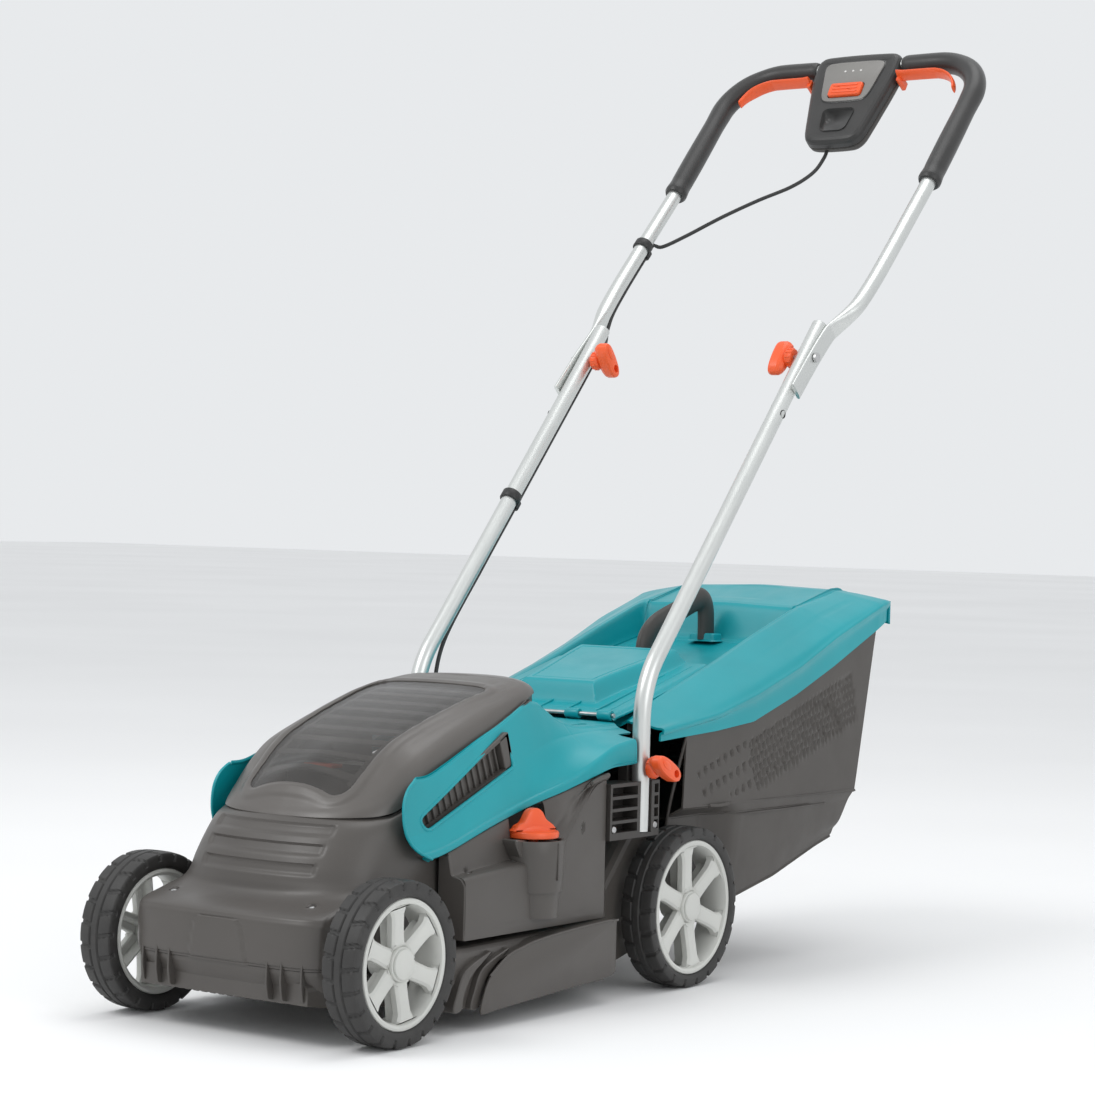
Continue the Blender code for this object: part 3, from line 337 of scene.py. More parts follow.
def box(low, high, bevel=0.0, segments=2, matrix=None):
    low, high = Vector(low), Vector(high)
    bm = bmesh.new()
    bmesh.ops.create_cube(bm, size=1.0)
    bmesh.ops.scale(bm, vec=high - low, verts=bm.verts)
    bmesh.ops.translate(bm, vec=(low + high) / 2, verts=bm.verts)
    if bevel:
        bmesh.ops.bevel(bm, geom=bm.edges[:], offset=bevel, segments=segments, profile=0.5, affect="EDGES",
            material=-1)
    if matrix is not None:
        transform(bm, matrix)
    return bm


def lathe(profile, centre, axis, segments=64):
    """Profile of (radius, height) spun about an axis through centre."""
    bm = bmesh.new()
    verts = [bm.verts.new((max(radius, 0), 0, height)) for radius, height in profile]
    edges = [bm.edges.new(pair) for pair in zip(verts, verts[1:])]
    bmesh.ops.spin(bm, geom=verts + edges, cent=(0, 0, 0), axis=(0, 0, 1), angle=2 * math.pi, steps=segments,
        use_merge=True)
    bmesh.ops.remove_doubles(bm, verts=bm.verts, dist=0.00001)
    turn = Z_AXIS.rotation_difference(Vector(axis).normalized()).to_matrix().to_4x4()
    transform(bm, Matrix.Translation(centre) @ turn)
    face_out(bm)
    return bm


def join(bm, *others):
    for other in others:
        spare = bpy.data.meshes.new("spare")
        other.to_mesh(spare)
        other.free()
        bm.from_mesh(spare)
        bpy.data.meshes.remove(spare)
    return bm


def as_object(name, bm):
    """Object that takes over a mesh being made."""
    mesh = bpy.data.meshes.new(name)
    bm.to_mesh(mesh)
    bm.free()
    thing = bpy.data.objects.new(name, mesh)
    bpy.context.scene.collection.objects.link(thing)
    return thing


def modified(thing, *spares):
    """The object's mesh with its modifiers; the object and its spares are taken away."""
    result = bpy.data.meshes.new_from_object(thing.evaluated_get(bpy.context.evaluated_depsgraph_get()))
    made = bmesh.new()
    made.from_mesh(result)
    bpy.data.meshes.remove(result)
    for spare in (thing, *spares):
        data = spare.data
        bpy.data.objects.remove(spare, do_unlink=True)
        bpy.data.meshes.remove(data)
    return made


def carve(bm, *cutters):
    """Cut closed shapes out of a closed shape."""
    thing = as_object("carved", bm)
    tools = [as_object("cutter", cutter) for cutter in cutters]
    for tool in tools:
        modifier = thing.modifiers.new("carve", "BOOLEAN")
        modifier.operation = "DIFFERENCE"
        modifier.object = tool
        modifier.solver = "EXACT"
    return modified(thing, *tools)


def thicken(bm, wall):
    """Give a sheet a wall on its inner side, as a closed shape."""
    thing = as_object("sheet", bm)
    solid = thing.modifiers.new("wall", "SOLIDIFY")
    solid.thickness = wall
    solid.offset = -1
    solid.use_even_offset = False
    return modified(thing)


def prism(outline, start, run):
    """Outline pushed along z."""
    return stack(outline, [(start, 0), (start + run, 0)])


def finish(name, bm, material, body, replaces=(), angle=32):
    """Make the shape a piece that rides on a body."""
    thing = as_object(name, bm)
    thing.data.shade_smooth()
    thing.data.set_sharp_from_angle(angle=math.radians(angle))
    thing.data.materials.append(finishes()[material])
    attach(thing, body)
    if replaces:
        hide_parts(*replaces)


def dress(material, *nodes):
    """Give CAD nodes that stay a finished material."""
    material = finishes()[material]
    for name in nodes:
        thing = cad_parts[name]
        if not thing.material_slots:
            thing.data.materials.append(material)
        for holder in thing.material_slots:
            holder.material = material


# Materials

def shader(name):
    material = bpy.data.materials.new(name)
    material.use_nodes = True
    tree = material.node_tree
    return material, tree, tree.nodes["Principled BSDF"]


def noise(tree, scale, detail=4.0, roughness=0.55, stretch=(1, 1, 1)):
    coordinates = tree.nodes.new("ShaderNodeTexCoord")
    mapping = tree.nodes.new("ShaderNodeMapping")
    mapping.inputs["Scale"].default_value = stretch
    texture = tree.nodes.new("ShaderNodeTexNoise")
    texture.inputs["Scale"].default_value = scale
    texture.inputs["Detail"].default_value = detail
    texture.inputs["Roughness"].default_value = roughness
    tree.links.new(coordinates.outputs["Object"], mapping.inputs["Vector"])
    tree.links.new(mapping.outputs["Vector"], texture.inputs["Vector"])
    return texture.outputs["Fac"]


def ramp(tree, source, target, low, high, start=0.3, end=0.7):
    """Feed target with a colour between low and high that follows source."""
    node = tree.nodes.new("ShaderNodeValToRGB")
    node.color_ramp.elements[0].position = start
    node.color_ramp.elements[1].position = end
    node.color_ramp.elements[0].color = (*low, 1)
    node.color_ramp.elements[1].color = (*high, 1)
    tree.links.new(source, node.inputs["Fac"])
    tree.links.new(node.outputs["Color"], target)


def bump(tree, bsdf, *layers):
    """Stack bump layers of (height output, distance, strength) on the shader's normal."""
    last = None
    for height, distance, strength in layers:
        node = tree.nodes.new("ShaderNodeBump")
        node.inputs["Distance"].default_value = distance
        node.inputs["Strength"].default_value = strength
        tree.links.new(height, node.inputs["Height"])
        if last:
            tree.links.new(last.outputs["Normal"], node.inputs["Normal"])
        last = node
    tree.links.new(last.outputs["Normal"], bsdf.inputs["Normal"])


def shaded(colour, amount):
    return tuple(min(max(channel * amount, 0), 1) for channel in colour)


def moulded_plastic(name, colour, roughness=0.42, grain=0.35, scale=900.0, sheen=0.5):
    """Injection-moulded plastic: fine spark-eroded grain, faint clouding and uneven gloss."""
    material, tree, bsdf = shader(name)
    cloud = noise(tree, 7, 3)
    ramp(tree, cloud, bsdf.inputs["Base Color"], shaded(colour, 0.93), shaded(colour, 1.06))
    grit = noise(tree, scale, 2, 0.6)
    smudge = noise(tree, 22, 5, 0.6)
    ramp(tree, smudge, bsdf.inputs["Roughness"], (roughness - 0.05,) * 3, (roughness + 0.06,) * 3)
    bsdf.inputs["Specular IOR Level"].default_value = sheen
    bump(tree, bsdf, (grit, 0.0002, grain), (cloud, 0.001, 0.05))
    return material


def anodised_tube(name, colour, roughness=0.32):
    """Drawn aluminium tube: fine lines along it under a satin anodised skin."""
    material, tree, bsdf = shader(name)
    drawn = noise(tree, 260, 3, 0.6, (1, 0.08, 0.08))
    ramp(tree, drawn, bsdf.inputs["Base Color"], shaded(colour, 0.96), shaded(colour, 1.02))
    ramp(tree, drawn, bsdf.inputs["Roughness"], (roughness,) * 3, (roughness + 0.05,) * 3)
    bsdf.inputs["Metallic"].default_value = 0.85
    grit = noise(tree, 1200, 2)
    bump(tree, bsdf, (drawn, 0.0001, 0.02), (grit, 0.00005, 0.02))
    return material


def ground_steel(name, colour, roughness=0.3):
    """Turned or ground steel with a few dull patches."""
    material, tree, bsdf = shader(name)
    lines = noise(tree, 420, 4, 0.6, (1, 0.12, 1))
    patch = noise(tree, 30, 6, 0.65)
    ramp(tree, patch, bsdf.inputs["Base Color"], shaded(colour, 0.72), shaded(colour, 1.05), 0.35, 0.6)
    ramp(tree, patch, bsdf.inputs["Roughness"], (roughness + 0.18,) * 3, (roughness,) * 3, 0.35, 0.65)
    bsdf.inputs["Metallic"].default_value = 1.0
    bump(tree, bsdf, (lines, 0.0002, 0.25))
    return material


def tyre_rubber(name, colour):
    """Hard rubber: dull, slightly dusty, with a fine pitted skin."""
    material, tree, bsdf = shader(name)
    dust = noise(tree, 38, 6, 0.7)
    ramp(tree, dust, bsdf.inputs["Base Color"], colour, shaded(colour, 1.9), 0.45, 0.8)
    ramp(tree, dust, bsdf.inputs["Roughness"], (0.46,) * 3, (0.66,) * 3)
    pits = noise(tree, 700, 3, 0.6)
    bump(tree, bsdf, (pits, 0.0003, 0.35))
    return material


def soft_grip(name, colour):
    """Soft over-moulded skin with a silky sheen."""
    material, tree, bsdf = shader(name)
    cloud = noise(tree, 16, 4)
    ramp(tree, cloud, bsdf.inputs["Base Color"], shaded(colour, 0.85), shaded(colour, 1.3))
    ramp(tree, cloud, bsdf.inputs["Roughness"], (0.36,) * 3, (0.48,) * 3)
    bsdf.inputs["Sheen Weight"].default_value = 0.12
    grit = noise(tree, 1500, 2)
    bump(tree, bsdf, (grit, 0.0002, 0.22))
    return material


def smoky_window(name):
    """Dark clear plastic with a hard gloss."""
    material, tree, bsdf = shader(name)
    haze = noise(tree, 14, 4)
    ramp(tree, haze, bsdf.inputs["Base Color"], (0.06, 0.056, 0.052), (0.095, 0.088, 0.082))
    ramp(tree, haze, bsdf.inputs["Roughness"], (0.1,) * 3, (0.17,) * 3)
    bsdf.inputs["Alpha"].default_value = 0.42
    bsdf.inputs["Coat Weight"].default_value = 0.5
    bsdf.inputs["Coat Roughness"].default_value = 0.08
    return material


FINISHES = {}


def finishes():
    """The mower's materials, made once."""
    if FINISHES:
        return FINISHES
    colours = bpy.context.scene.mower_colours
    body = tuple(colours.body)
    for key, name, colour, *look in (("cowl", "cowl teal", colours.cowl, 0.36, 0.22, 1100),
            # The hood's colour is the body colour made 1.22 times lighter: a painted highlight on the upward-facing
            # hood, with its own gloss and grain
            ("body", "body plastic", body, 0.4, 0.4, 800), ("hood", "hood plastic", shaded(body, 1.22), 0.36, 0.3, 900,
            0.6), ("tub", "grass box plastic", shaded(body, 0.93), 0.48, 0.55, 620, 0.45),
            # The near-black material after the vent plastic is painted shade: it goes on the battery tray, the sheets
            # behind the side vents and the cups in the tube holes to stand for the shade inside them
            ("dark", "vent plastic", shaded(body, 0.55), 0.46, 0.3), ("pit", "dark inside", (0.012, 0.011, 0.01), 0.7,
            0.1), ("control", "control orange", colours.control, 0.33, 0.15, 1200), ("rim", "rim plastic", colours.rim,
            0.42, 0.45, 700), ("gloss", "console trim", (0.018, 0.0175, 0.017), 0.2, 0.05),
            ("panel", "console panel", (0.2, 0.193, 0.182), 0.38, 0.25), ("cable", "cable sheath",
            (0.018, 0.018, 0.018), 0.45, 0.2), ("label", "battery label", (0.62, 0.62, 0.6), 0.4, 0.08),
            ("key", "key red", (0.7, 0.03, 0.02), 0.35, 0.1)):
        FINISHES[key] = moulded_plastic(name, tuple(colour), *look)
    FINISHES["tyre"] = tyre_rubber("tyre rubber", tuple(colours.tyre))
    FINISHES["grip"] = soft_grip("grip rubber", tuple(colours.grip))
    FINISHES["tube"] = anodised_tube("handle aluminium", (0.66, 0.675, 0.66))
    FINISHES["steel"] = ground_steel("bright steel", (0.55, 0.55, 0.55))
    FINISHES["blade"] = ground_steel("blade steel", (0.34, 0.34, 0.35), 0.38)
    FINISHES["window"] = smoky_window("smoky window")
    return FINISHES


# Nose and hood

EDGE_LINE = [(-0.56, 0.219), (-0.546, 0.2195), (-0.505, 0.223), (-0.485, 0.231), (-0.452, 0.257), (-0.4, 0.278),
    (-0.33, 0.306), (-0.26, 0.333), (-0.215, 0.344)]
SIDE_WIDTH = [(-0.56, 0.1265), (-0.5, 0.125), (-0.452, 0.1235), (-0.33, 0.1155), (-0.2465, 0.1075), (-0.215, 0.1035)]
NOSE_LEVELS = [
    # height in front, foremost y, half width, length of the round, squareness, share of the side's height
    (0.0768, -0.636, 0.1255, 0.038, 4.5, 0),
    (0.085, -0.6385, 0.127, 0.04, 4.2, 0.06),
    (0.115, -0.6395, 0.1275, 0.042, 4, 0.27),
    (0.1245, -0.638, 0.1265, 0.042, 4, 0.33),
    (0.13, -0.632, 0.124, 0.04, 3.8, 0.38),
    (0.138, -0.606, 0.1225, 0.042, 3.2, 0.45),
    (0.1455, -0.596, 0.1225, 0.06, 2.7, 0.5),
    (0.156, -0.593, 0.1225, 0.075, 2.5, 0.56),
    (0.173, -0.588, 0.122, 0.08, 2.4, 0.66),
    (0.195, -0.5765, 0.121, 0.085, 2.4, 0.78),
    (0.212, -0.564, 0.12, 0.09, 2.4, 0.9),
    (0.2192, -0.552, 0.118, 0.1, 2.4, 1),
    (0.22, -0.544, 0.112, 0.1, 2.4, 1),
]


DECK_TOP = 0.0768
NOSE_REAR = -0.262
NOSE_SPREAD = (1, 0.985, 0.94, 0.86, 0.74, 0.58, 0.4, 0.2, 0)


def nose_net():
    """Rows from the foot to the lid's seam; each runs from the left side round the nose to the right side."""
    net = []
    for front_z, front_y, width, length, square, share in NOSE_LEVELS:
        half = []
        corner_y = front_y + length
        for i in range(4):
            y = NOSE_REAR + (corner_y + 0.004 - NOSE_REAR) * i / 4
            x = min(table(SIDE_WIDTH, y), width) + (1 - share) * 0.004
            half.append(Vector((x, y, DECK_TOP + share * (table(EDGE_LINE, y) - DECK_TOP))))
        for i, share_x in enumerate(NOSE_SPREAD):
            angle = math.asin(share_x ** (square / 2))
            x = width * share_x
            y = front_y + length * (1 - math.cos(angle) ** (2 / square)) if i else corner_y
            side_z = DECK_TOP + share * (table(EDGE_LINE, y) - DECK_TOP)
            blend = (angle / (math.pi / 2)) ** 3
            if i == 0:
                x = min(table(SIDE_WIDTH, y), width) + (1 - share) * 0.002
            half.append(Vector((x, y, front_z + (side_z - front_z) * blend)))
        net.append(mirrored(half))
    return net


def pad_distance(x, z):
    """How far outside the bumper's middle pad a place is."""
    half = 0.0305 + (0.1225 - z) * 0.19
    return max(abs(x) - half, 0.0705 - z, z - 0.1215, (abs(x) - half + 0.006 + z - 0.1215) * 0.7)


def nose_relief(place):
    """Louvre bands, the bumper's pad and the screw wells."""
    depth = 0.0
    if place.y < -0.52 and abs(place.x) < 0.095:
        for middle, reach in ((0.208, 0.08), (0.189, 0.079), (0.169, 0.0775)):
            across = 1 - step(reach - 0.006, reach, abs(place.x))
            rise = place.z - middle
            depth -= sizes().louvre_depth * across * (step(-0.0068, -0.0015, rise) * (1 - step(0.0052, 0.0066, rise)))
    if place.y < -0.625:
        gap = pad_distance(place.x, place.z)
        depth += 0.0009 * (1 - step(-0.001, 0, gap)) - 0.0008 * (1 - step(0, 0.0009, abs(gap - 0.0006)))
    for side in (1, -1):
        away = math.hypot(place.x - side * 0.0936, place.y + 0.602)
        if place.z > 0.125 and away < 0.02:
            depth -= 0.0055 * (1 - step(0.003, 0.0052, away)) - 0.0007 * (1 - step(0.0052, 0.009, away))
    if place.z < 0.1:
        depth -= 0.001 * (1 - step(0, 0.001, abs(place.z - 0.079)))
    return depth


def build_front_cover():
    bm = net_sheet(nose_net(), 220, 150, (0, -0.4, 0.15))
    emboss(bm, nose_relief)
    bm = thicken(bm, sizes().wall)
    rear = mirrored([Vector(point) for point in LID_SEAM[9:]])

    def rear_wall(u, v):
        top = spline(rear, u)
        inset = 0.0008 + 0.0014 * v
        centre = Vector((0, -0.3, top.z))
        away = (top - centre).normalized()
        return Vector((top.x, top.y, 0.286 + (top.z - 0.0006 - 0.286) * v)) - away * inset
    join(bm, thicken(sheet(rear_wall, 120, 12, (0, -0.3, 0.3)), 0.0022))
    finish("front_cover", bm, "body", "mower", ["motor_cover"], 40)

    chin_rows = [(0.0762, -0.635, 0.1255, 0.038, 4.5), (0.07, -0.6335, 0.125, 0.038, 4.5),
        (0.056, -0.627, 0.1235, 0.038, 4.2), (0.046, -0.618, 0.1215, 0.038, 4), (0.043, -0.612, 0.1205, 0.038, 4)]
    net = []
    for z, front_y, width, length, square in chin_rows:
        half = []
        for i in range(9):
            angle = math.pi / 2 * (1 - i / 8)
            x = width * math.sin(angle) ** (2 / square) if i < 8 else 0
            y = front_y + length * (1 - math.cos(angle) ** (2 / square)) if i else front_y + length
            half.append(Vector((x, y, z)))
        net.append(mirrored(half))
    bm = thicken(net_sheet(net, 120, 20, (0, -0.5, 0.06)), 0.003)
    finish("deck_chin", bm, "body", "mower", (), 40)

    fins = bmesh.new()
    for side in (1, -1):
        for x, front_y, tall in ((0.066, -0.6335, 0.116), (0.084, -0.6325, 0.122), (0.107, -0.628, 0.128),
                (0.1265, -0.604, 0.128)):
            outline = [(front_y + 0.01, 0.044), (front_y - 0.0022, 0.045), (front_y - 0.0055, 0.062),
                (front_y - 0.00495, 0.08), (front_y + 0.0005, tall), (front_y + 0.008, tall)]
            fin = stack(rounded(outline, 0.004, 3), [(-0.0011, 0.0006), (-0.0006, 0), (0.0006, 0), (0.0011, 0.0006)],
                side_frame(side * x))
            join(fins, fin)
    finish("corner_fins", fins, "body", "mower")

    teeth = bmesh.new()
    for i in range(-10, 11):
        x = 0.0115 * i
        front = -0.6215 + 0.03 * abs(x / 0.122) ** 5
        outline = [(front, 0.0475), (front + 0.001, 0.0405), (front + 0.005, 0.0385), (front + 0.011, 0.04),
            (front + 0.013, 0.0475)]
        join(teeth, stack(rounded(outline, 0.003, 3), [(-0.0034, 0.001), (-0.0026, 0), (0.0026, 0), (0.0034, 0.001)],
            side_frame(x)))
    finish("front_comb", teeth, "body", "mower")

    screws = bmesh.new()
    for side in (1, -1):
        join(screws, lathe([(0, 0.0015), (0.0012, 0.0015), (0.0015, 0.003), (0.0031, 0.0024), (0.0034, 0), (0, 0)],
            (side * 0.0936, -0.602, 0.1345), (0, -0.2, 1), 20))
    finish("bumper_screws", screws, "steel", "mower")


class MOWER_OT_front_cover(bpy.types.Operator):
    """Bumper, louvred nose and the sides below the lid"""
    bl_idname = "mower.front_cover"
    bl_label = "Front Cover"

    def execute(self, context):
        build_front_cover()
        return {"FINISHED"}


LID_SEAM = [(0, -0.5525, 0.2192), (0.035, -0.5505, 0.2194), (0.065, -0.543, 0.2199), (0.09, -0.5285, 0.2212),
    (0.105, -0.5105, 0.2228), (0.1135, -0.49, 0.229), (0.1175, -0.465, 0.247), (0.1178, -0.44, 0.262),
    (0.1165, -0.4, 0.278), (0.1145, -0.365, 0.292), (0.1122, -0.33, 0.306), (0.1095, -0.3, 0.318),
    (0.1062, -0.27, 0.329), (0.1005, -0.244, 0.3375), (0.09, -0.225, 0.34), (0.07, -0.209, 0.3435),
    (0.04, -0.1975, 0.348), (0, -0.193, 0.35)]
LID_SPINE = [(-0.546, 0.2245), (-0.53, 0.247), (-0.505, 0.272), (-0.48, 0.286), (-0.452, 0.2985), (-0.4, 0.319),
    (-0.33, 0.34), (-0.28, 0.35), (-0.24, 0.355), (-0.215, 0.3555)]
LID_HINGE_Y = -0.5475
WINDOW_RADIUS = 0.018


def lid_surface():
    """The lid as a dome over its seam, from the seam in to a line along its middle."""
    seam = [Vector(point) for point in LID_SEAM]
    loop = seam + flipped(seam[-2:0:-1]) + [seam[0]]
    side_rise = [(0, 0), (0.012, 0.2), (0.05, 0.42), (0.13, 0.66), (0.27, 0.86), (0.5, 0.955), (0.75, 0.99), (1, 1)]
    nose_rise = [(0, 0), (0.05, 0.07), (0.13, 0.15), (0.26, 0.3), (0.42, 0.51), (0.65, 0.77), (0.88, 0.95), (1, 1)]

    def place(u, v):
        foot = spline(loop, u)
        spine_y = min(max(foot.y, -0.5), -0.24)
        top = Vector((0, spine_y, table(LID_SPINE, spine_y)))
        if foot.y > -0.24:
            top.z = 0.3555
        nose = 1 - step(-0.556, -0.445, foot.y)
        reach = v ** 1.35
        rise = table(side_rise, reach) * (1 - nose) + table(nose_rise, reach) * nose
        return Vector((foot.x * (1 - reach), foot.y + (top.y - foot.y) * reach, foot.z + (top.z - foot.z) * rise))
    bm = sheet(place, 200, 60, (0, -0.38, 0.2), wrap=True)
    inner = [vert for vert in bm.verts if not vert.is_boundary]
    for _ in range(10):
        bmesh.ops.smooth_vert(bm, verts=inner, factor=0.5, use_axis_x=False, use_axis_y=False, use_axis_z=True)
    return bm


def window_half(y, foot=0.066):
    """Half the window's width at y; foot is that at its front end."""
    return foot + (y + 0.527) * 0.0502


def window_distance(x, y):
    """How far outside the window's outline a place is, seen from above."""
    across = abs(x) - window_half(y) + WINDOW_RADIUS
    along = abs(y + 0.4075) - 0.1195 + WINDOW_RADIUS
    return math.hypot(max(across, 0), max(along, 0)) + min(max(across, along), 0) - WINDOW_RADIUS


def lid_relief(place):
    gap = window_distance(place.x, place.y)
    frame_rise = step(0.0008, 0.003, gap) * (1 - step(0.0075, 0.0125, gap)) * 0.0016
    rear_line = -0.0006 * (1 - step(0, 0.0008, abs(place.y + 0.246 - 0.22 * abs(place.x) ** 1.3)))
    side_line = -0.0005 * (1 - step(0, 0.0008, abs(gap - 0.0205))) if place.y > -0.47 else 0
    return frame_rise + (rear_line if abs(place.x) < 0.082 else 0) + side_line


def drop(tree, x, y):
    """Place on the surface straight below (x, y)."""
    return tree.ray_cast(Vector((x, y, 1)), -Z_AXIS)[0]


def window_outline():
    points = []
    for x, y, start in ((0.0672, -0.527, -90), (0.0785, -0.288, 0), (-0.0785, -0.288, 90), (-0.0672, -0.527, 180)):
        middle = Vector((math.copysign(abs(x) - WINDOW_RADIUS, x),
            y + (WINDOW_RADIUS if y < -0.4 else -WINDOW_RADIUS)))
        for k in range(9):
            angle = math.radians(start + 90 * k / 8)
            points.append(tuple(middle + Vector((math.cos(angle), math.sin(angle))) * WINDOW_RADIUS))
    return points


def build_battery_lid():
    bm = lid_surface()
    emboss(bm, lid_relief)
    tree = BVHTree.FromBMesh(bm)
    shell = thicken(bm, 0.0022)
    shell = carve(shell, prism(window_outline(), 0.15, 0.3))
    finish("hood_lid", shell, "hood", "lid", ["battery_lid"], 40)

    def pane(u, v):
        y = -0.5275 + 0.24 * v
        half = window_half(y) + 0.0008
        for end in (-0.5275, -0.2875):
            near = WINDOW_RADIUS - abs(y - end)
            if near > 0:
                half -= WINDOW_RADIUS - math.sqrt(max(WINDOW_RADIUS ** 2 - near ** 2, 0))
        half = max(half, 0.02)
        x = half * (2 * u - 1)
        return drop(tree, x, y) - Z_AXIS * 0.0009
    window = thicken(sheet(pane, 60, 100, (0, -0.4, 0.1)), 0.0018)
    finish("lid_window_pane", window, "window", "lid", ["lid_window"], 50)

    ribs = bmesh.new()
    for i in range(9):
        y = -0.505 + 0.025 * i
        half = window_half(y, 0.0655)
        thin = 0.009 if i > 1 else 0.007

        def bar(u, v, y=y, half=half, thin=thin):
            x = half * (2 * u - 1)
            row = y + thin * (v - 0.5) + 0.006 * (x / half) ** 2
            return drop(tree, x, row) - Z_AXIS * 0.0045
        join(ribs, thicken(sheet(bar, 24, 4, (0, y, 0.1)), 0.003))
    for side in (1, -1):
        def rail(u, v, side=side):
            y = -0.508 + 0.212 * v
            x = side * (window_half(y, 0.0655) - 0.006 + 0.006 * (u - 0.5))
            return drop(tree, x, y) - Z_AXIS * 0.0052
        join(ribs, thicken(sheet(rail, 3, 40, (0, -0.4, 0.1)), 0.003))
    finish("lid_ribs", ribs, "hood", "lid", (), 40)

    inner = bmesh.new()
    for side in (1, -1):
        join(inner, box((side * 0.032 - 0.004, -0.534, 0.212), (side * 0.032 + 0.004, -0.5215, 0.232), 0.0015))
        join(inner, lathe([(0, -0.012), (0.0042, -0.012), (0.0042, 0.012), (0, 0.012)],
            (side * 0.032, LID_HINGE_Y + 0.014, 0.2235), X_AXIS, 24))
    finish("lid_hinge_arms", inner, "dark", "lid")

    tab = box((-0.02, -0.2005, 0.3475), (0.02, -0.1905, 0.3525), 0.0018, 3)
    finish("lid_finger_tab", tab, "hood", "lid")


class MOWER_OT_battery_lid(bpy.types.Operator):
    """Hood lid with its smoky window and the ribs below it"""
    bl_idname = "mower.battery_lid"
    bl_label = "Battery Lid"

    def execute(self, context):
        build_battery_lid()
        return {"FINISHED"}


def build_battery():
    low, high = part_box("battery_pack")
    middle = (low + high) / 2
    outline = rectangle(low.x, low.y, high.x, high.y, 0.012)
    pack = stack(outline, [(low.z, 0.003), (low.z + 0.002, 0), (middle.z - 0.002, 0), (middle.z - 0.001, 0.0012),
        (middle.z + 0.001, 0.0012), (middle.z + 0.002, 0), (high.z - 0.004, 0), (high.z - 0.001, 0.0015),
        (high.z, 0.005)])
    for side in (0, 1):
        x = low.x if side == 0 else high.x
        for k in range(6):
            y = low.y + 0.03 + 0.017 * k
            join(pack, box((x - 0.0012, y, low.z + 0.04), (x + 0.0012, y + 0.009, high.z - 0.006), 0.0008))
    finish("battery_case", pack, "grip", "battery", ["battery_pack"])
    label = stack(rectangle(low.x + 0.014, low.y + 0.062, high.x - 0.026, high.y - 0.05, 0.004),
        [(high.z + 0.0001, 0), (high.z + 0.0005, 0.0003)])
    finish("battery_label_patch", label, "label", "battery")
    clip = box((middle.x - 0.02, low.y + 0.006, high.z - 0.001), (middle.x + 0.02, low.y + 0.026, high.z + 0.004),
        0.0018, 3)
    finish("battery_latch", clip, "control", "battery")

    low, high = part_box("safety_key")
    middle = (low + high) / 2
    key = lathe([(0, low.z), (0.0075, low.z), (0.0085, low.z + 0.002), (0.0085, high.z - 0.026),
        (0.007, high.z - 0.024), (0, high.z - 0.024)], (middle.x, middle.y, 0), Z_AXIS, 32)
    grip = stack(rounded([(-0.0135, 0), (0.0135, 0), (0.012, 0.024), (-0.012, 0.024)], 0.008),
        [(-0.0032, 0.0014), (-0.0022, 0), (0.0022, 0), (0.0032, 0.0014)],
        side_frame(middle.x, middle.y, high.z - 0.0245))
    join(key, grip)
    finish("safety_key_grip", key, "key", "key", ["safety_key"])

    # The tray gets the near-black material that paints the shade inside the bay
    dress("pit", "battery_tray")
    rails = bmesh.new()
    for x in (-0.0805, 0.0155):
        join(rails, box((x - 0.002, -0.47, 0.1946), (x + 0.002, -0.29, 0.214), 0.0008))
    socket = lathe([(0.0095, 0.1946), (0.0135, 0.1946), (0.0135, 0.208), (0.0125, 0.2095), (0.0105, 0.2095),
        (0.0095, 0.208), (0.0095, 0.1946)], (middle.x, middle.y, 0), Z_AXIS, 40)
    join(rails, socket)
    finish("bay_rails", rails, "dark", "mower")


class MOWER_OT_battery(bpy.types.Operator):
    """Battery with its label, the safety key and the bay round them"""
    bl_idname = "mower.battery"
    bl_label = "Battery and Key"

    def execute(self, context):
        build_battery()
        return {"FINISHED"}


# Cowl

COWL_ROWS = [
    # y, foot x, foot z, crease height, ledge's inner x and z, rim x and z
    (-0.516, 0.14, 0.174, 0.008, 0.133, 0.202, 0.129, 0.2585),
    (-0.49, 0.1415, 0.1765, 0.008, 0.1335, 0.204, 0.1287, 0.259),
    (-0.461, 0.143, 0.1795, 0.0085, 0.1335, 0.208, 0.128, 0.26),
    (-0.43, 0.1425, 0.1865, 0.0085, 0.1325, 0.218, 0.1268, 0.27),
    (-0.4, 0.142, 0.195, 0.0085, 0.1315, 0.229, 0.125, 0.281),
    (-0.365, 0.14, 0.204, 0.0088, 0.13, 0.243, 0.1225, 0.294),
    (-0.33, 0.138, 0.212, 0.009, 0.1285, 0.256, 0.12, 0.306),
    (-0.3, 0.1375, 0.219, 0.0095, 0.127, 0.267, 0.117, 0.317),
    (-0.275, 0.1415, 0.226, 0.01, 0.1255, 0.277, 0.114, 0.326),
    (-0.25, 0.1495, 0.234, 0.011, 0.124, 0.2845, 0.111, 0.329),
    (-0.228, 0.1585, 0.243, 0.013, 0.1235, 0.2895, 0.109, 0.32),
    (-0.205, 0.1645, 0.251, 0.017, 0.124, 0.2925, 0.112, 0.307),
    (-0.178, 0.1665, 0.258, 0.022, 0.124, 0.2945, 0.116, 0.3),
    (-0.145, 0.167, 0.26, 0.026, 0.124, 0.296, 0.118, 0.299),
    (-0.103, 0.167, 0.262, 0.027, 0.124, 0.2965, 0.118, 0.3),
]
VENT_TILT = math.radians(21)
VENT_FRAME = Matrix(((0, 0, 1, 0), (math.cos(VENT_TILT), -math.sin(VENT_TILT), 0, -0.464),
    (math.sin(VENT_TILT), math.cos(VENT_TILT), 0, 0.206), (0, 0, 0, 1)))


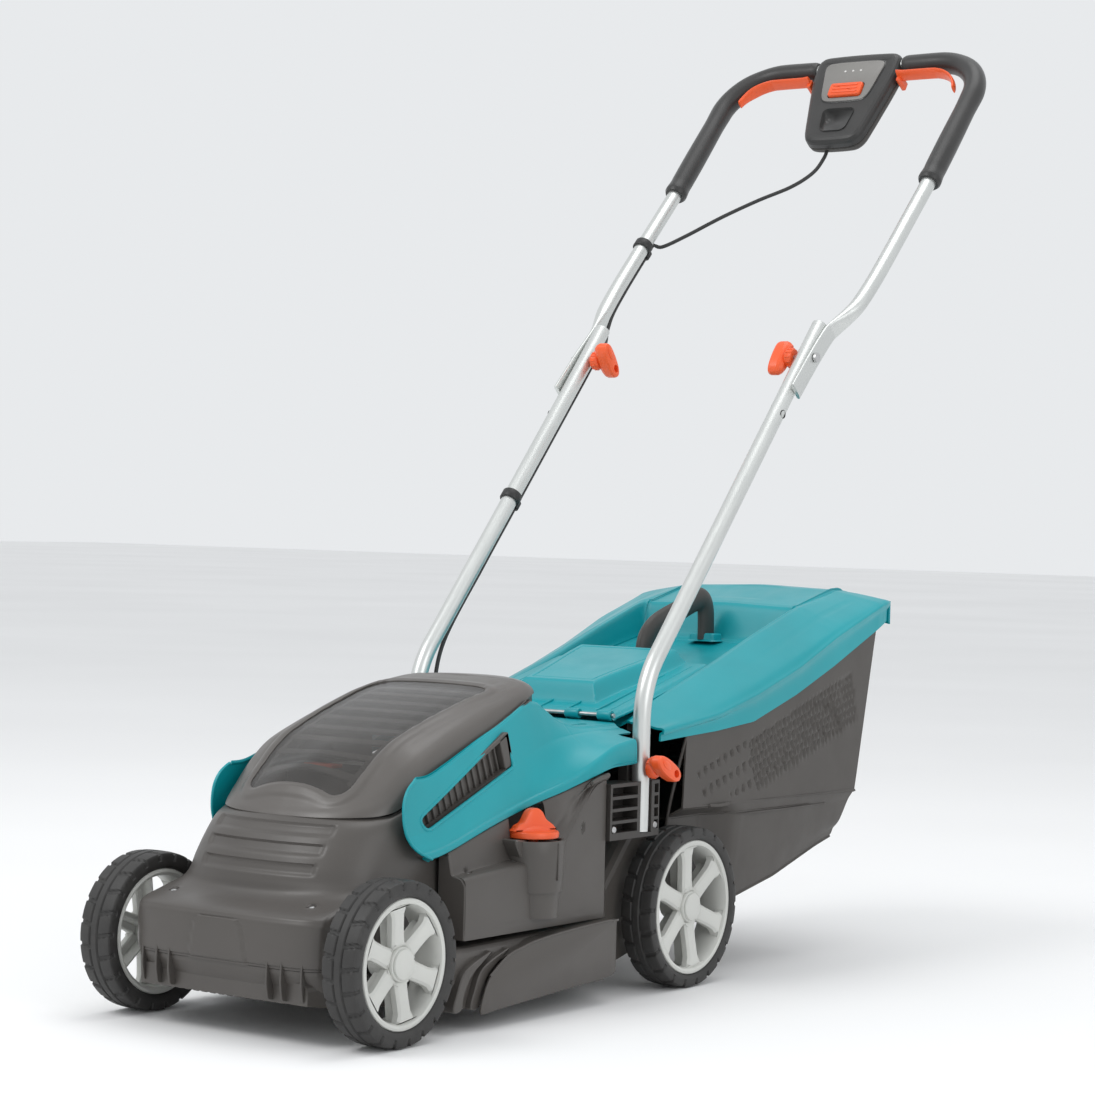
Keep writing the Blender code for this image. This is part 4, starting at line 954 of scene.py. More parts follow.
def cowl_net():
    net = []
    for y, foot_x, foot_z, crease, in_x, in_z, rim_x, rim_z in COWL_ROWS:
        crest = Vector((foot_x - 0.0028, y, foot_z + crease))
        base = Vector((in_x, y, in_z))
        rim = Vector((rim_x, y, rim_z))
        half = [Vector((foot_x - 0.003, y, foot_z)), Vector((foot_x - 0.0006, y, foot_z + 0.0004)),
            Vector((foot_x, y, foot_z + 0.0022)), Vector((foot_x - 0.0004, y, foot_z + crease * 0.75)), crest,
            crest.lerp(base, 0.12), crest.lerp(base, 0.5) - Z_AXIS * 0.0012, crest.lerp(base, 0.88), base,
            base.lerp(rim, 0.12), base.lerp(rim, 0.55), base.lerp(rim, 0.88), rim + Vector((-0.001, 0, 0.001)),
            Vector((rim_x - 0.008, y, rim_z + 0.0022)), Vector((0.06, y, rim_z + 0.003)),
            Vector((0, y, rim_z + 0.0035))]
        net.append(mirrored(half))
    return net


def vent_outline(grow):
    corners = [(-0.003 - grow, 0.002 - grow), (0.164 + grow, -grow), (0.166 + grow, 0.0365 + grow),
        (-0.01 - grow, 0.0175 + grow)]
    points = []
    for i, (x, y) in enumerate(corners):
        before, after = corners[i - 1], corners[(i + 1) % 4]
        radius = 0.009 if i in (0, 3) else 0.004
        points += rounded([before, (x, y), after], radius + grow, 5)[6:12]
    return points


def front_arc():
    """Side view line of the cowl's front tip."""
    arc = [(-0.44, 0.17), (-0.462, 0.1765), (-0.48, 0.183), (-0.494, 0.1935), (-0.502, 0.208), (-0.5045, 0.224),
        (-0.5025, 0.239), (-0.495, 0.251), (-0.482, 0.26)]
    arc = [Vector(point) for point in arc]
    return [tuple(spline(arc, i / 40)) for i in range(41)]


def hood_gap(gap):
    """Outline round the hood's seam, seen from above, from the left front to the right front."""
    half = [(0.1285, -0.62), (0.1272, -0.545), (0.1262, -0.5), (0.124, -0.452), (0.1205, -0.4), (0.115, -0.33),
        (0.1085, -0.275), (0.1015, -0.245), (0.0905, -0.2245), (0.07, -0.2085), (0.04, -0.197), (0, -0.1925)]
    half = [Vector(point) for point in half]
    line = [spline(half, i / 60) + Vector((gap, gap * 0.5)) for i in range(61)]
    line[-1].x = 0.0
    return line + [Vector((-p.x, p.y)) for p in line[-2::-1]]


def open_round(bm, outline):
    """Take away the faces inside an outline seen from above, and bring the new edge onto the outline."""
    def width(y):
        reach = 0.0
        for a, b in zip(outline[:61], outline[1:61]):
            if min(a.y, b.y) <= y <= max(a.y, b.y):
                reach = max(reach, a.x + (b.x - a.x) * (y - a.y) / (b.y - a.y))
        return reach
    widths = {}
    inside = set()
    for vert in bm.verts:
        key = round(vert.co.y, 5)
        if key not in widths:
            widths[key] = width(key)
        if abs(vert.co.x) < widths[key]:
            inside.add(vert)
    drop_faces(bm, inside)
    for vert in bm.verts:
        if vert not in inside:
            continue
        here = vert.co.xy
        best = None
        for a, b in zip(outline, outline[1:]):
            along = b - a
            t = min(max((here - a).dot(along) / along.length_squared, 0), 1)
            place = a + along * t
            if best is None or (place - here).length < (best - here).length:
                best = place
        vert.co.xy = best


def build_cowl():

    def relief(place):
        seam = 0.0
        if place.y > -0.21 and abs(place.x) < 0.139:
            seam -= 0.0008 * (1 - step(0, 0.0009, abs(place.y + 0.1985)))
        if place.y > -0.16 and abs(place.x) > 0.08:
            seam -= 0.0008 * (1 - step(0, 0.0008, abs(place.y + 0.1195)))
        return seam
    bm = net_sheet(cowl_net(), 260, 190, (0, -0.25, 0.15))
    emboss(bm, relief)
    open_round(bm, hood_gap(0.0012))
    corner = {vert for vert in bm.verts if abs(vert.co.x) > 0.139 and vert.co.y > -0.131}
    drop_faces(bm, corner)
    for vert in bm.verts:
        if vert in corner:
            if abs(vert.co.x) - 0.139 < vert.co.y + 0.131:
                vert.co.x = math.copysign(0.139, vert.co.x)
            else:
                vert.co.y = -0.131
    arc = front_arc()
    for near, far in zip(arc, arc[1:]):
        along = Vector((0, far[0] - near[0], far[1] - near[1])).normalized()
        bmesh.ops.bisect_plane(bm, geom=bm.verts[:] + bm.edges[:] + bm.faces[:], dist=0.000001,
            plane_co=(0, near[0], near[1]), plane_no=(0, -along.z, along.y), clear_outer=True)
    shell = thicken(bm, sizes().wall)
    keyholes = []
    for side in (1, -1):
        slot = [(0.0985, -0.166), (0.1015, -0.166), (0.1022, -0.15), (0.105, -0.146), (0.105, -0.1395),
            (0.1015, -0.1365), (0.0985, -0.1365), (0.095, -0.1395), (0.095, -0.146), (0.0978, -0.15)]
        keyholes.append(prism(rounded([(side * x, y) for x, y in slot], 0.0022, 3), 0.25, 0.1))
    vents = [prism(vent_outline(0), 0.1, 0.1), prism(vent_outline(0), -0.2, 0.1)]
    for vent in vents:
        transform(vent, VENT_FRAME)
    shell = carve(shell, *keyholes, *vents)
    finish("cowl_shell", shell, "cowl", "mower", ["cowl"], 38)

    tree = BVHTree.FromBMesh(net_sheet(cowl_net(), 130, 100, (0, -0.25, 0.15)))

    def bead(side, points, radius, closed):
        line = []
        for y, z in points:
            hit = tree.ray_cast(Vector((side * 0.4, y, z)), Vector((-side, 0, 0)))
            line.append((hit[0] if hit[0] else Vector((side * 0.129, y, z))) - Vector((side * radius * 0.45, 0, 0)))
        if closed:
            line.append(line[0])
        return sweep(line, radius, X_AXIS, 10, closed_ends=not closed)
    rims = bmesh.new()
    for side in (1, -1):
        ring = [VENT_FRAME @ Vector((x, y, 0)) for x, y in vent_outline(0.0012)]
        dense = []
        for a, b in zip(ring, ring[1:] + ring[:1]):
            for k in range(6):
                dense.append(a.lerp(b, k / 6))
        join(rims, bead(side, [(p.y, p.z) for p in dense], 0.0021, True))
        join(rims, bead(side, arc[4:], 0.0018, False))
    finish("cowl_rims", rims, "cowl", "mower")

    for name, side in SIDES.items():
        slats = bmesh.new()
        for i in range(sizes().slats):
            along = 0.006 + 0.142 * i / (sizes().slats - 1)
            tall = 0.0185 + 0.0185 * along / 0.166
            lean = -0.006 * (1 - along / 0.166)
            outline = [(along - 0.0011 + lean, -0.001), (along + 0.0011 + lean, -0.001), (along + 0.0011 + lean, tall),
                (along - 0.0011 + lean, tall)]
            deep = 0.13 - 0.0075 * along / 0.166
            start = deep - 0.0095
            join(slats, stack(rounded(outline, 0.0008, 2), [(start, 0), (start + 0.0054, 0), (start + 0.006, 0.0005)],
                VENT_FRAME))
        # A near-black sheet behind the slats: painted shade inside the vent
        back = stack(vent_outline(0.004), [(0.113, 0), (0.116, 0)], VENT_FRAME)
        end = stack(rounded([(0.152, -0.001), (0.167, -0.001), (0.169, 0.038), (0.152, 0.0355)], 0.001, 2),
            [(0.113, 0), (0.1245, 0), (0.1255, 0.0008)], VENT_FRAME)
        lip = carve(stack(vent_outline(0.0035), [(0.1135, 0), (0.1245, 0), (0.1255, 0.0008)], VENT_FRAME),
            stack(vent_outline(-0.0016), [(0.1, 0), (0.14, 0)], VENT_FRAME))
        join(slats, end, lip)
        if side < 0:
            for bm in (slats, back):
                flip(bm)
        finish(f"vent_slats_{name}", slats, "body", "mower", [f"vent_grille_{name}"])
        finish(f"vent_shade_sheet_{name}", back, "pit", "mower")


class MOWER_OT_cowl(bpy.types.Operator):
    """Coloured cowl over the deck's rear and round both side vents"""
    bl_idname = "mower.cowl"
    bl_label = "Cowl"

    def execute(self, context):
        build_cowl()
        return {"FINISHED"}


# Sides

SIDE_ROWS = [
    # y, top of the outer part, cowl edge x and z
    (-0.442, 0.1575, 0.1415, 0.183),
    (-0.43, 0.159, 0.1415, 0.186),
    (-0.4, 0.161, 0.141, 0.1945),
    (-0.365, 0.1632, 0.1392, 0.203),
    (-0.33, 0.1655, 0.1372, 0.211),
    (-0.3, 0.169, 0.1368, 0.2185),
    (-0.275, 0.179, 0.1405, 0.2255),
    (-0.255, 0.196, 0.146, 0.232),
    (-0.235, 0.219, 0.154, 0.24),
    (-0.218, 0.238, 0.159, 0.2465),
    (-0.205, 0.246, 0.1615, 0.25),
    (-0.188, 0.25, 0.162, 0.253),
]


KNOB_PLACE = Vector((0.149, -0.303, 0.1892))


def build_side_covers():
    for name, side in SIDES.items():
        net = []
        for y, top, edge_x, edge_z in SIDE_ROWS:
            edge_z -= 0.0008
            bulge = step(-0.29, -0.21, y)
            outer = [Vector((x, y, z)) for x, z in ((0.1652, 0.0935), (0.1656, 0.11),
                (0.1655, 0.11 + (top - 0.11) * 0.6), (0.1652, top - 0.0075), (0.164, top - 0.0025))]
            flat = Vector((0.16, y, top + 0.0002))
            far = Vector((edge_x + 0.0015, y, edge_z - 0.006))
            low = Vector((edge_x + 0.006, y, top + (edge_z - top) * (0.12 + 0.5 * bulge)))
            net.append(outer + [flat, flat.lerp(low, 0.6) - Vector((0, 0, 0.0006 * (1 - bulge))), low,
                far.lerp(low, 0.3), Vector((edge_x - 0.0005, y, edge_z)), Vector((edge_x - 0.006, y, edge_z))])
        if side < 0:
            net = [flipped(row) for row in net]

        def relief(place, side=side):
            depth = 0.0
            for y, z, x in ((-0.418, 0.163, 0.15), (-0.231, 0.196, 0.164)):
                away = math.hypot(place.y - y, (place.x - side * x) if z < 0.17 else (place.z - z))
                depth -= 0.0045 * (1 - step(0.0022, 0.0042, away))
            depth -= 0.0006 * (1 - step(0, 0.001, abs(place.z - 0.103))) * step(0.16, 0.164, abs(place.x))
            return depth
        bm = net_sheet(net, 90, 150, (side * 0.15, -0.315, 0.13))
        emboss(bm, relief)
        if side > 0:
            room = {vert for vert in bm.verts if vert.co.z > 0.175 and (vert.co.xy - KNOB_PLACE.xy).length < 0.0308}
            drop_faces(bm, room)
            for vert in bm.verts:
                if vert in room:
                    vert.co.xy = KNOB_PLACE.xy + (vert.co.xy - KNOB_PLACE.xy).normalized() * 0.0308
        shell = thicken(bm, 0.0022)
        front = stack(rounded([(0.13, 0.0935), (0.1652, 0.0935), (0.1652, 0.15), (0.16, 0.1572), (0.1475, 0.16),
            (0.143, 0.18), (0.13, 0.18)], 0.002, 3), [(0.4392, 0), (0.4428, 0), (0.4436, 0.0008)],
            Matrix(((side, 0, 0, 0), (0, 0, -1, 0), (0, 1, 0, 0), (0, 0, 0, 1))))
        if side > 0:
            turret = lathe([(0.0065, 0.133), (0.0335, 0.133), (0.0345, 0.15), (0.0352, 0.172), (0.0352, 0.1866),
                (0.0343, 0.188), (0.0322, 0.188), (0.0312, 0.187), (0.0312, 0.185), (0.0065, 0.185), (0.0065, 0.133)],
                (0.149, -0.303, 0), Z_AXIS, 80)
            rib = box((0.183, -0.305, 0.146), (0.1852, -0.3015, 0.1862), 0.0008)
            skirt = lathe([(0.03, 0.105), (0.0312, 0.126), (0.0338, 0.148), (0.0344, 0.152), (0.03, 0.154),
                (0.028, 0.105)], (0.148, -0.3025, 0), Z_AXIS, 60)
            wing = stack(smooth_outline([(-0.347, 0.1893), (-0.335, 0.1893), (-0.325, 0.186), (-0.322, 0.166),
                (-0.328, 0.16), (-0.34, 0.175)], 6), [(0.134, 0.001), (0.135, 0), (0.158, 0), (0.16, 0.0015)],
                side_frame())
            join(shell, turret, rib, skirt, wing)
        join(shell, front)
        finish(f"side_panel_{name}", shell, "body", "mower", [f"side_cover_{name}"], 40)

    screws = bmesh.new()
    for side in (1, -1):
        for place, axis in (((0.15, -0.418, 0.1578), Z_AXIS), ((0.1598, -0.231, 0.196), X_AXIS * side)):
            join(screws, lathe([(0, 0.0016), (0.001, 0.0016), (0.0013, 0.0026), (0.0024, 0.0022), (0.0026, 0), (0, 0)],
                (side * place[0], *place[1:]), axis, 16))
    finish("side_screws", screws, "steel", "mower")

    knob = lathe([(0, 0.0002), (0.027, 0.0002), (0.0282, 0.0012), (0.0285, 0.006), (0.0275, 0.0075), (0.0235, 0.008),
        (0, 0.0085)], KNOB_PLACE, Z_AXIS, 72)
    wing = smooth_outline([(-0.0262, 0.0068), (-0.0262, 0.012), (-0.0225, 0.015), (-0.016, 0.018), (-0.01, 0.0275),
        (-0.004, 0.0315), (0.004, 0.0315), (0.01, 0.0275), (0.015, 0.02), (0.0225, 0.015), (0.0262, 0.012),
        (0.0262, 0.0068)], 5)
    turn = Matrix.Rotation(math.radians(-14), 4, "Z")
    knob_wing = stack(wing, [(-0.0062, 0.0022), (-0.005, 0.0006), (-0.003, 0), (0.003, 0), (0.005, 0.0006),
        (0.0062, 0.0022)], Matrix.Translation(KNOB_PLACE) @ turn @ side_frame())
    foot = stack(smooth_outline([(-0.0262, -0.004), (0, -0.011), (0.0262, -0.004), (0.0262, 0.004), (0, 0.011),
        (-0.0262, 0.004)], 8), [(0.007, 0), (0.0105, 0.0015), (0.013, 0.004)],
        Matrix.Translation(KNOB_PLACE) @ turn @ Matrix(((0, 1, 0, 0), (1, 0, 0, 0), (0, 0, 1, 0), (0, 0, 0, 1))))
    stem = lathe([(0, -0.064), (0.0058, -0.064), (0.0058, 0.001), (0, 0.001)], KNOB_PLACE, Z_AXIS, 24)
    join(knob, knob_wing, foot, stem)
    finish("height_dial", knob, "control", "height_adjuster", ["height_knob"], 40)


class MOWER_OT_side_covers(bpy.types.Operator):
    """Covers below the cowl's edges, with the height knob's turret on the left"""
    bl_idname = "mower.side_covers"
    bl_label = "Side Covers"

    def execute(self, context):
        build_side_covers()
        return {"FINISHED"}


def build_side_combs():
    for name, side in SIDES.items():
        plate = smooth_outline([(-0.43, 0.0195), (-0.427, 0.033), (-0.418, 0.05), (-0.405, 0.063), (-0.385, 0.0735),
            (-0.36, 0.08), (-0.33, 0.085), (-0.27, 0.0895), (-0.2, 0.0925), (-0.188, 0.092), (-0.185, 0.086),
            (-0.185, 0.04), (-0.188, 0.0325), (-0.21, 0.03), (-0.31, 0.0245), (-0.4, 0.0195), (-0.422, 0.0175)], 5)
        onto = side_frame(side=side)
        comb = stack(plate, [(0.1774, 0.001), (0.1782, 0), (0.1798, 0), (0.1805, 0.0009)], onto)
        lip = [(-0.415, 0.056), (-0.385, 0.0735), (-0.36, 0.08), (-0.33, 0.085), (-0.27, 0.0895), (-0.2, 0.0925),
            (-0.19, 0.0915)]
        path = resample([(side * 0.1798, y, z) for y, z in lip], 50)
        join(comb, sweep(path, 0.0013, X_AXIS, 10))
        shelf = [Vector((side * x, y, z)) for x, y, z in ((0.1795, -0.186, 0.09), (0.178, -0.18, 0.0905),
            (0.172, -0.1745, 0.0905), (0.16, -0.1715, 0.0905), (0.14, -0.17, 0.0905))]

        def wall(u, v, shelf=shelf):
            top = spline(shelf, u)
            return Vector((top.x, top.y, 0.0345 + (top.z - 0.0345) * v))
        join(comb, thicken(sheet(wall, 24, 6, (side * 0.12, -0.25, 0.06)), 0.0025))

        def deck_shelf(u, v, side=side):
            y = -0.425 + 0.248 * u
            outer = min(0.179, 0.164 + 0.015 * step(-0.425, -0.36, y))
            x = 0.156 + (outer - 0.156) * v
            return Vector((side * x, y, table([(-0.425, 0.06), (-0.385, 0.073), (-0.33, 0.0848), (-0.2, 0.0923),
                (-0.17, 0.0925)], y)))
        join(comb, thicken(sheet(deck_shelf, 40, 6, (side * 0.16, -0.3, 0.05)), 0.0022))
        for y in (-0.412, -0.442):
            fin = smooth_outline([(y - 0.038 + 0.012, 0.024), (y - 0.03 + 0.01, 0.042), (y - 0.006, 0.064),
                (y + 0.033, 0.079), (y + 0.036, 0.077), (y + 0.006, 0.059), (y - 0.008, 0.04), (y - 0.012, 0.024)], 5)
            join(comb, stack(fin, [(0.156, 0), (0.172, 0), (0.1732, 0.001)], onto))
        finish(f"grass_comb_{name}", comb, "body", "mower", [f"side_comb_{name}"], 40)


class MOWER_OT_side_combs(bpy.types.Operator):
    """Grass combs along the deck's lower sides"""
    bl_idname = "mower.side_combs"
    bl_label = "Side Combs"

    def execute(self, context):
        build_side_combs()
        return {"FINISHED"}


# Wheels

TREAD_WIDTH = 0.042


def wheel_rim(centre, side, outer, name, body):
    """Rim with broad bevelled spokes, a domed hub cap and an open barrel."""
    spokes = sizes().spokes
    face_x = 0.0196
    barrel = [(outer - 0.001, -face_x + 0.001), (outer + 0.0006, -face_x + 0.004), (outer + 0.0006, face_x - 0.004),
        (outer - 0.001, face_x - 0.0006), (outer - 0.0035, face_x), (outer - 0.006, face_x - 0.0008),
        (outer - 0.0075, face_x - 0.0045), (outer - 0.0082, 0), (outer - 0.0075, -face_x + 0.004),
        (outer - 0.004, -face_x + 0.001), (outer - 0.001, -face_x + 0.001)]
    bm = lathe(barrel, (0, 0, 0), Z_AXIS, 96)
    hub = lathe([(0.0088, -0.018), (0.014, -0.018), (0.015, -0.0165), (0.0165, 0.008), (0.0175, 0.0105),
        (0.0178, 0.014), (0.0172, 0.0158), (0.015, 0.0166), (0.0088, 0.016), (0.0088, -0.018)], (0, 0, 0), Z_AXIS, 64)
    join(bm, hub)
    for i in range(spokes):
        angle = math.radians(8) + 2 * math.pi * i / spokes
        inner, far = 0.0155, outer - 0.0055
        outline = []
        for t in range(9):
            r = inner + (far - inner) * t / 8
            half = 0.0078 + 0.0026 * t / 8 + 0.0085 * max(0, (t / 8 - 0.72) / 0.28) ** 2 + 0.003 * (1 - t / 8) ** 3
            outline.append((half, r))
        outline = outline + [(-x, y) for x, y in reversed(outline)]
        face = stack(outline, [(0.004, 0.0014), (0.0055, 0), (0.012, 0), (0.0142, 0.0026), (0.0148, 0.0042)])
        for vert in face.verts:
            r = vert.co.y
            vert.co.z += 0.0028 * step(inner, far, r) - 0.0006
        turn = Matrix.Rotation(angle, 4, "Z")
        transform(face, turn)
        rib = box((-0.0012, inner, -0.01), (0.0012, far, 0.006), 0.0005, 1, turn)
        join(bm, face, rib)
    swap = side_frame(*centre, side)
    transform(bm, swap)
    face_out(bm)
    finish(f"{name}_spokes", bm, "rim", body, [f"{name}_rim"], 30)
    cap = lathe([(0.0125, 0.015), (0.015, 0.016), (0.0158, 0.0172), (0.0152, 0.0188), (0.0125, 0.0199),
        (0.007, 0.0206), (0, 0.0208), (0, 0.015), (0.0125, 0.015)], (0, 0, 0), Z_AXIS, 48)
    transform(cap, swap)
    face_out(cap)
    finish(f"{name}_hub_cap", cap, "rim", body, (), 40)


def wheel_tyre(centre, seat, outer, name, body):
    """Tyre with shoulder blocks, grooves between them and a rib round the middle."""
    pitches = sizes().tread_pitches
    half = TREAD_WIDTH / 2
    profile = [(-0.019, seat), (-0.0198, seat + 0.001), (-0.0208, seat + 0.004), (-half, outer - 0.007),
        (-0.0204, outer - 0.003), (-0.0185, outer - 0.0012), (-0.01, outer - 0.0002), (0, outer),
        (0.01, outer - 0.0002), (0.0185, outer - 0.0012), (0.0204, outer - 0.003), (half, outer - 0.007),
        (0.0208, seat + 0.004), (0.0198, seat + 0.001), (0.019, seat)]
    shape = [Vector(point) for point in profile]

    def place(u, v):
        across, radius = spline(shape, v)
        across = min(max(across, -half), half)
        radius = min(radius, outer)
        angle = 2 * math.pi * u
        if radius > outer - 0.0095:
            shift = 0.5 if across < 0 else 0
            phase = (u * pitches + shift + 0.18 * abs(across) / half) % 1
            edge = abs(phase - 0.5)
            cut = step(0.385, 0.43, edge) * step(0.0042, 0.0056, abs(across))
            ring = 1 - step(0.0007, 0.0016, abs(abs(across) - 0.0052))
            cut = max(cut, ring * 0.9)
            radius -= 0.0022 * cut * step(outer - 0.0095, outer - 0.006, radius)
            if radius < outer - 0.004 and abs(across) > 0.0195:
                across -= math.copysign(0.0012 * cut, across)
        return Vector((across, radius * math.cos(angle), radius * math.sin(angle)))
    bm = sheet(place, pitches * 18, 84, wrap=True)
    bmesh.ops.translate(bm, vec=centre, verts=bm.verts)
    face_out(bm)
    facing = sum((face.calc_center_median() - Vector(centre)).dot(face.normal) for face in bm.faces)
    if facing < 0:
        bmesh.ops.reverse_faces(bm, faces=bm.faces[:])
    inner = lathe([(seat, -0.0188), (seat - 0.001, -0.018), (seat - 0.001, 0.018), (seat, 0.0188)], centre, X_AXIS, 96)
    bmesh.ops.reverse_faces(inner, faces=inner.faces[:])
    join(bm, inner)
    finish(f"{name}_tread", bm, "tyre", body, [f"{name}_tyre"], 35)


def build_wheels():
    for end, y, z, seat, outer in (("front", -0.563, 0.0845, 0.0678, 0.0845), ("rear", -0.031, 0.092, 0.0778, 0.092)):
        for name, side in SIDES.items():
            label = f"{end}_{name}"
            body = f"{label}_wheel"
            centre = (side * 0.164, y, z)
            wheel_rim(centre, side, seat - 0.001, label, body)
            wheel_tyre(centre, seat, outer, label, body)
    dress("steel", *[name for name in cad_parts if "axle" in name])


class MOWER_OT_wheels(bpy.types.Operator):
    """Rims, tyres, axles and their washers"""
    bl_idname = "mower.wheels"
    bl_label = "Wheels"

    def execute(self, context):
        build_wheels()
        return {"FINISHED"}


# Handle

def handle_point(x, below):
    return BAR - HANDLE_UP * below + X_AXIS * x


def shaft_point(x, y):
    foot = handle_point(x, (BAR.y - GRIP_FOOT_Y) / math.cos(HANDLE_SLOPE))
    return foot + Vector((0, y - GRIP_FOOT_Y, (y - GRIP_FOOT_Y) * math.tan(SHAFT_SLOPE)))


def console_point(x, up, out):
    return BAR + CONSOLE_UP * up + CONSOLE_OUT * out + X_AXIS * x


def tube_point(y, x):
    return Vector((x, y, BEND_Z + (y - TUBE_Y) * math.tan(TUBE_SLOPE)))


def corner_points(inset, first):
    """Arc inside the bar's left corner, from the angle first up to its top."""
    points = []
    for k in range(13):
        angle = math.radians(first + (90 - first) * k / 12)
        x = HANDLE_X - CORNER_RADIUS + (CORNER_RADIUS - inset) * math.cos(angle)
        points.append(handle_point(x, CORNER_RADIUS - (CORNER_RADIUS - inset) * math.sin(angle)))
    return points


def bar_line():
    """Middle line of the bar from the left grip's foot over the top to the right grip's foot."""
    left = [shaft_point(HANDLE_X, GRIP_FOOT_Y - 0.004), handle_point(HANDLE_X, 0.22), handle_point(HANDLE_X, 0.16),
        handle_point(HANDLE_X, 0.11)]
    left += corner_points(0, 0)
    left += [handle_point(x, 0) for x in (0.09, 0.06, 0.03)]
    return left + [handle_point(0, 0)] + flipped(reversed(left))


def build_tubes():
    for name, side in SIDES.items():
        x = side * TUBE_X
        foot = Vector((x, TUBE_Y, 0.1835))
        bend = 0.11
        turn = math.pi / 2 - TUBE_SLOPE
        reach = bend * math.tan(turn / 2)
        start = Vector((x, TUBE_Y, BEND_Z)) - Z_AXIS * reach
        line = [foot, foot.lerp(start, 0.5), start]
        centre = start + Y_AXIS * bend
        for k in range(1, 13):
            angle = math.pi - turn * k / 12
            line.append(centre + Vector((0, math.cos(angle), math.sin(angle))) * bend)
        top = tube_point(0.258, x)
        start = line[-1]
        line += [start.lerp(top, k / 14) for k in range(1, 15)]
        bm = sweep(line, TUBE_RADIUS, X_AXIS, 40)
        finish(f"lower_tube_{name}_bar", bm, "tube", "mower", [f"lower_tube_{name}"], 60)
        along = Vector((0, math.cos(TUBE_SLOPE), math.sin(TUBE_SLOPE)))
        cap = lathe([(0, 0.0012), (0.008, 0.0012), (0.0098, 0.0002), (0.0098, -0.003), (0, -0.003)], top, along, 40)
        finish(f"lower_tube_cap_{name}", cap, "dark", "mower")
        # A near-black cup in the tube's hole: painted shade inside the hole, with a small rim
        hole = tube_point(0.16, x) + X_AXIS * side * 0.0097
        hole_shade_cup = lathe([(0, -0.004), (0.0036, -0.004), (0.004, -0.0002), (0.0052, 0.0004), (0.0052, -0.001),
            (0, -0.0046)], hole, (side, 0, 0), 24)
        finish(f"lower_tube_hole_{name}", hole_shade_cup, "pit", "mower")

    stations = [(0.1745, 0.182, 0.6925, 0.0025, 0.012), (0.1745, 0.222, 0.733, 0.0025, 0.012),
        (0.1745, 0.256, 0.7645, 0.0027, 0.0119), (0.177, 0.268, 0.7745, 0.004, 0.0115),
        (0.184, 0.286, 0.7895, 0.0075, 0.0105), (0.1895, 0.304, 0.806, 0.0098, 0.0098),
        (0.1925, 0.335, 0.837, 0.0098, 0.0098)]
    leg = [Vector(row[:3]) for row in stations]
    spans = [Vector(row[3:]) for row in stations]
    for y in (0.375, 0.415):
        leg.append(shaft_point(HANDLE_X, y))
        spans.append(Vector((BAR_RADIUS, BAR_RADIUS)))
    flats, path = [], []
    for k in range(len(leg) * 8 + 1):
        t = k / (len(leg) * 8)
        path.append(spline(leg, t))
        flats.append(spline(spans, t))
    rest = bar_line()
    half_count = len(rest) // 2
    up_path = path + rest[:half_count + 1]
    up_sizes = flats + [Vector((BAR_RADIUS, BAR_RADIUS))] * (half_count + 1)
    full = up_path + flipped(reversed(up_path[:-1]))
    full_sizes = up_sizes + list(reversed(up_sizes[:-1]))
    count = len(full) - 1

    def place(u, v):
        i = min(round(v * count), count)
        along = (full[min(i + 1, count)] - full[max(i - 1, 0)]).normalized()
        across = HANDLE_NORMAL.cross(along).normalized()
        up = along.cross(across).normalized()
        angle = 2 * math.pi * u
        thin, tall = full_sizes[i]
        cosine, sine = math.cos(angle), math.sin(angle)
        flatness = 1 - min(thin / BAR_RADIUS, 1)
        power = 1 - 0.55 * flatness
        cosine = math.copysign(abs(cosine) ** power, cosine)
        sine = math.copysign(abs(sine) ** power, sine)
        return full[i] + across * thin * cosine + up * tall * sine
    bm = sheet(place, 40, count, wrap=True)
    bmesh.ops.holes_fill(bm, edges=[edge for edge in bm.edges if edge.is_boundary], sides=0)
    face_out(bm)
    finish("upper_handle_bar", bm, "tube", "handle", ["upper_handle"], 50)


class MOWER_OT_tubes(bpy.types.Operator):
    """Lower and upper handle tubes"""
    bl_idname = "mower.tubes"
    bl_label = "Handle Tubes"

    def execute(self, context):
        build_tubes()
        return {"FINISHED"}


def build_grips():
    for name, side in SIDES.items():
        line = [p for p in bar_line() if p.x > 0.0705]
        line = [shaft_point(HANDLE_X, GRIP_FOOT_Y)] + line[1:]
        line.append(handle_point(0.0665, 0))
        path = resample(line, 90)
        if side < 0:
            path = flipped(path)
        rings = []
        for k in range(91):
            t = k / 90
            size = 0.014 + 0.0005 * math.sin(t * 9)
            size += 0.0012 * (1 - step(0.02, 0.055, t)) - 0.002 * (1 - step(0, 0.012, t))
            size -= 0.0012 * (1 - step(0, 0.006, abs(t - 0.062)))
            size += 0.0011 * step(0.4, 0.52, t) * (1 - step(0.66, 0.76, t))
            size -= 0.0018 * step(0.985, 1, t)
            rings.append(size)

        def radius(t, rings=rings):
            return rings[min(int(round(t * 90)), 90)]
        bm = sweep(path, radius, HANDLE_NORMAL, 40)
        finish(f"grip_sleeve_{name}", bm, "grip", "handle", [f"grip_{name}"], 50)


class MOWER_OT_grips(bpy.types.Operator):
    """Soft grips round the handle's corners, with collars at their ends"""
    bl_idname = "mower.grips"
    bl_label = "Grips"

    def execute(self, context):
        build_grips()
        return {"FINISHED"}


CONSOLE_HALF = [(0, -0.1395), (0.02, -0.139), (0.032, -0.137), (0.04, -0.131), (0.0445, -0.123), (0.047, -0.114),
    (0.053, -0.085), (0.06, -0.05), (0.064, -0.025), (0.065, -0.008), (0.0645, 0.003), (0.061, 0.01), (0.052, 0.0155),
    (0.03, 0.017), (0, 0.0175)]


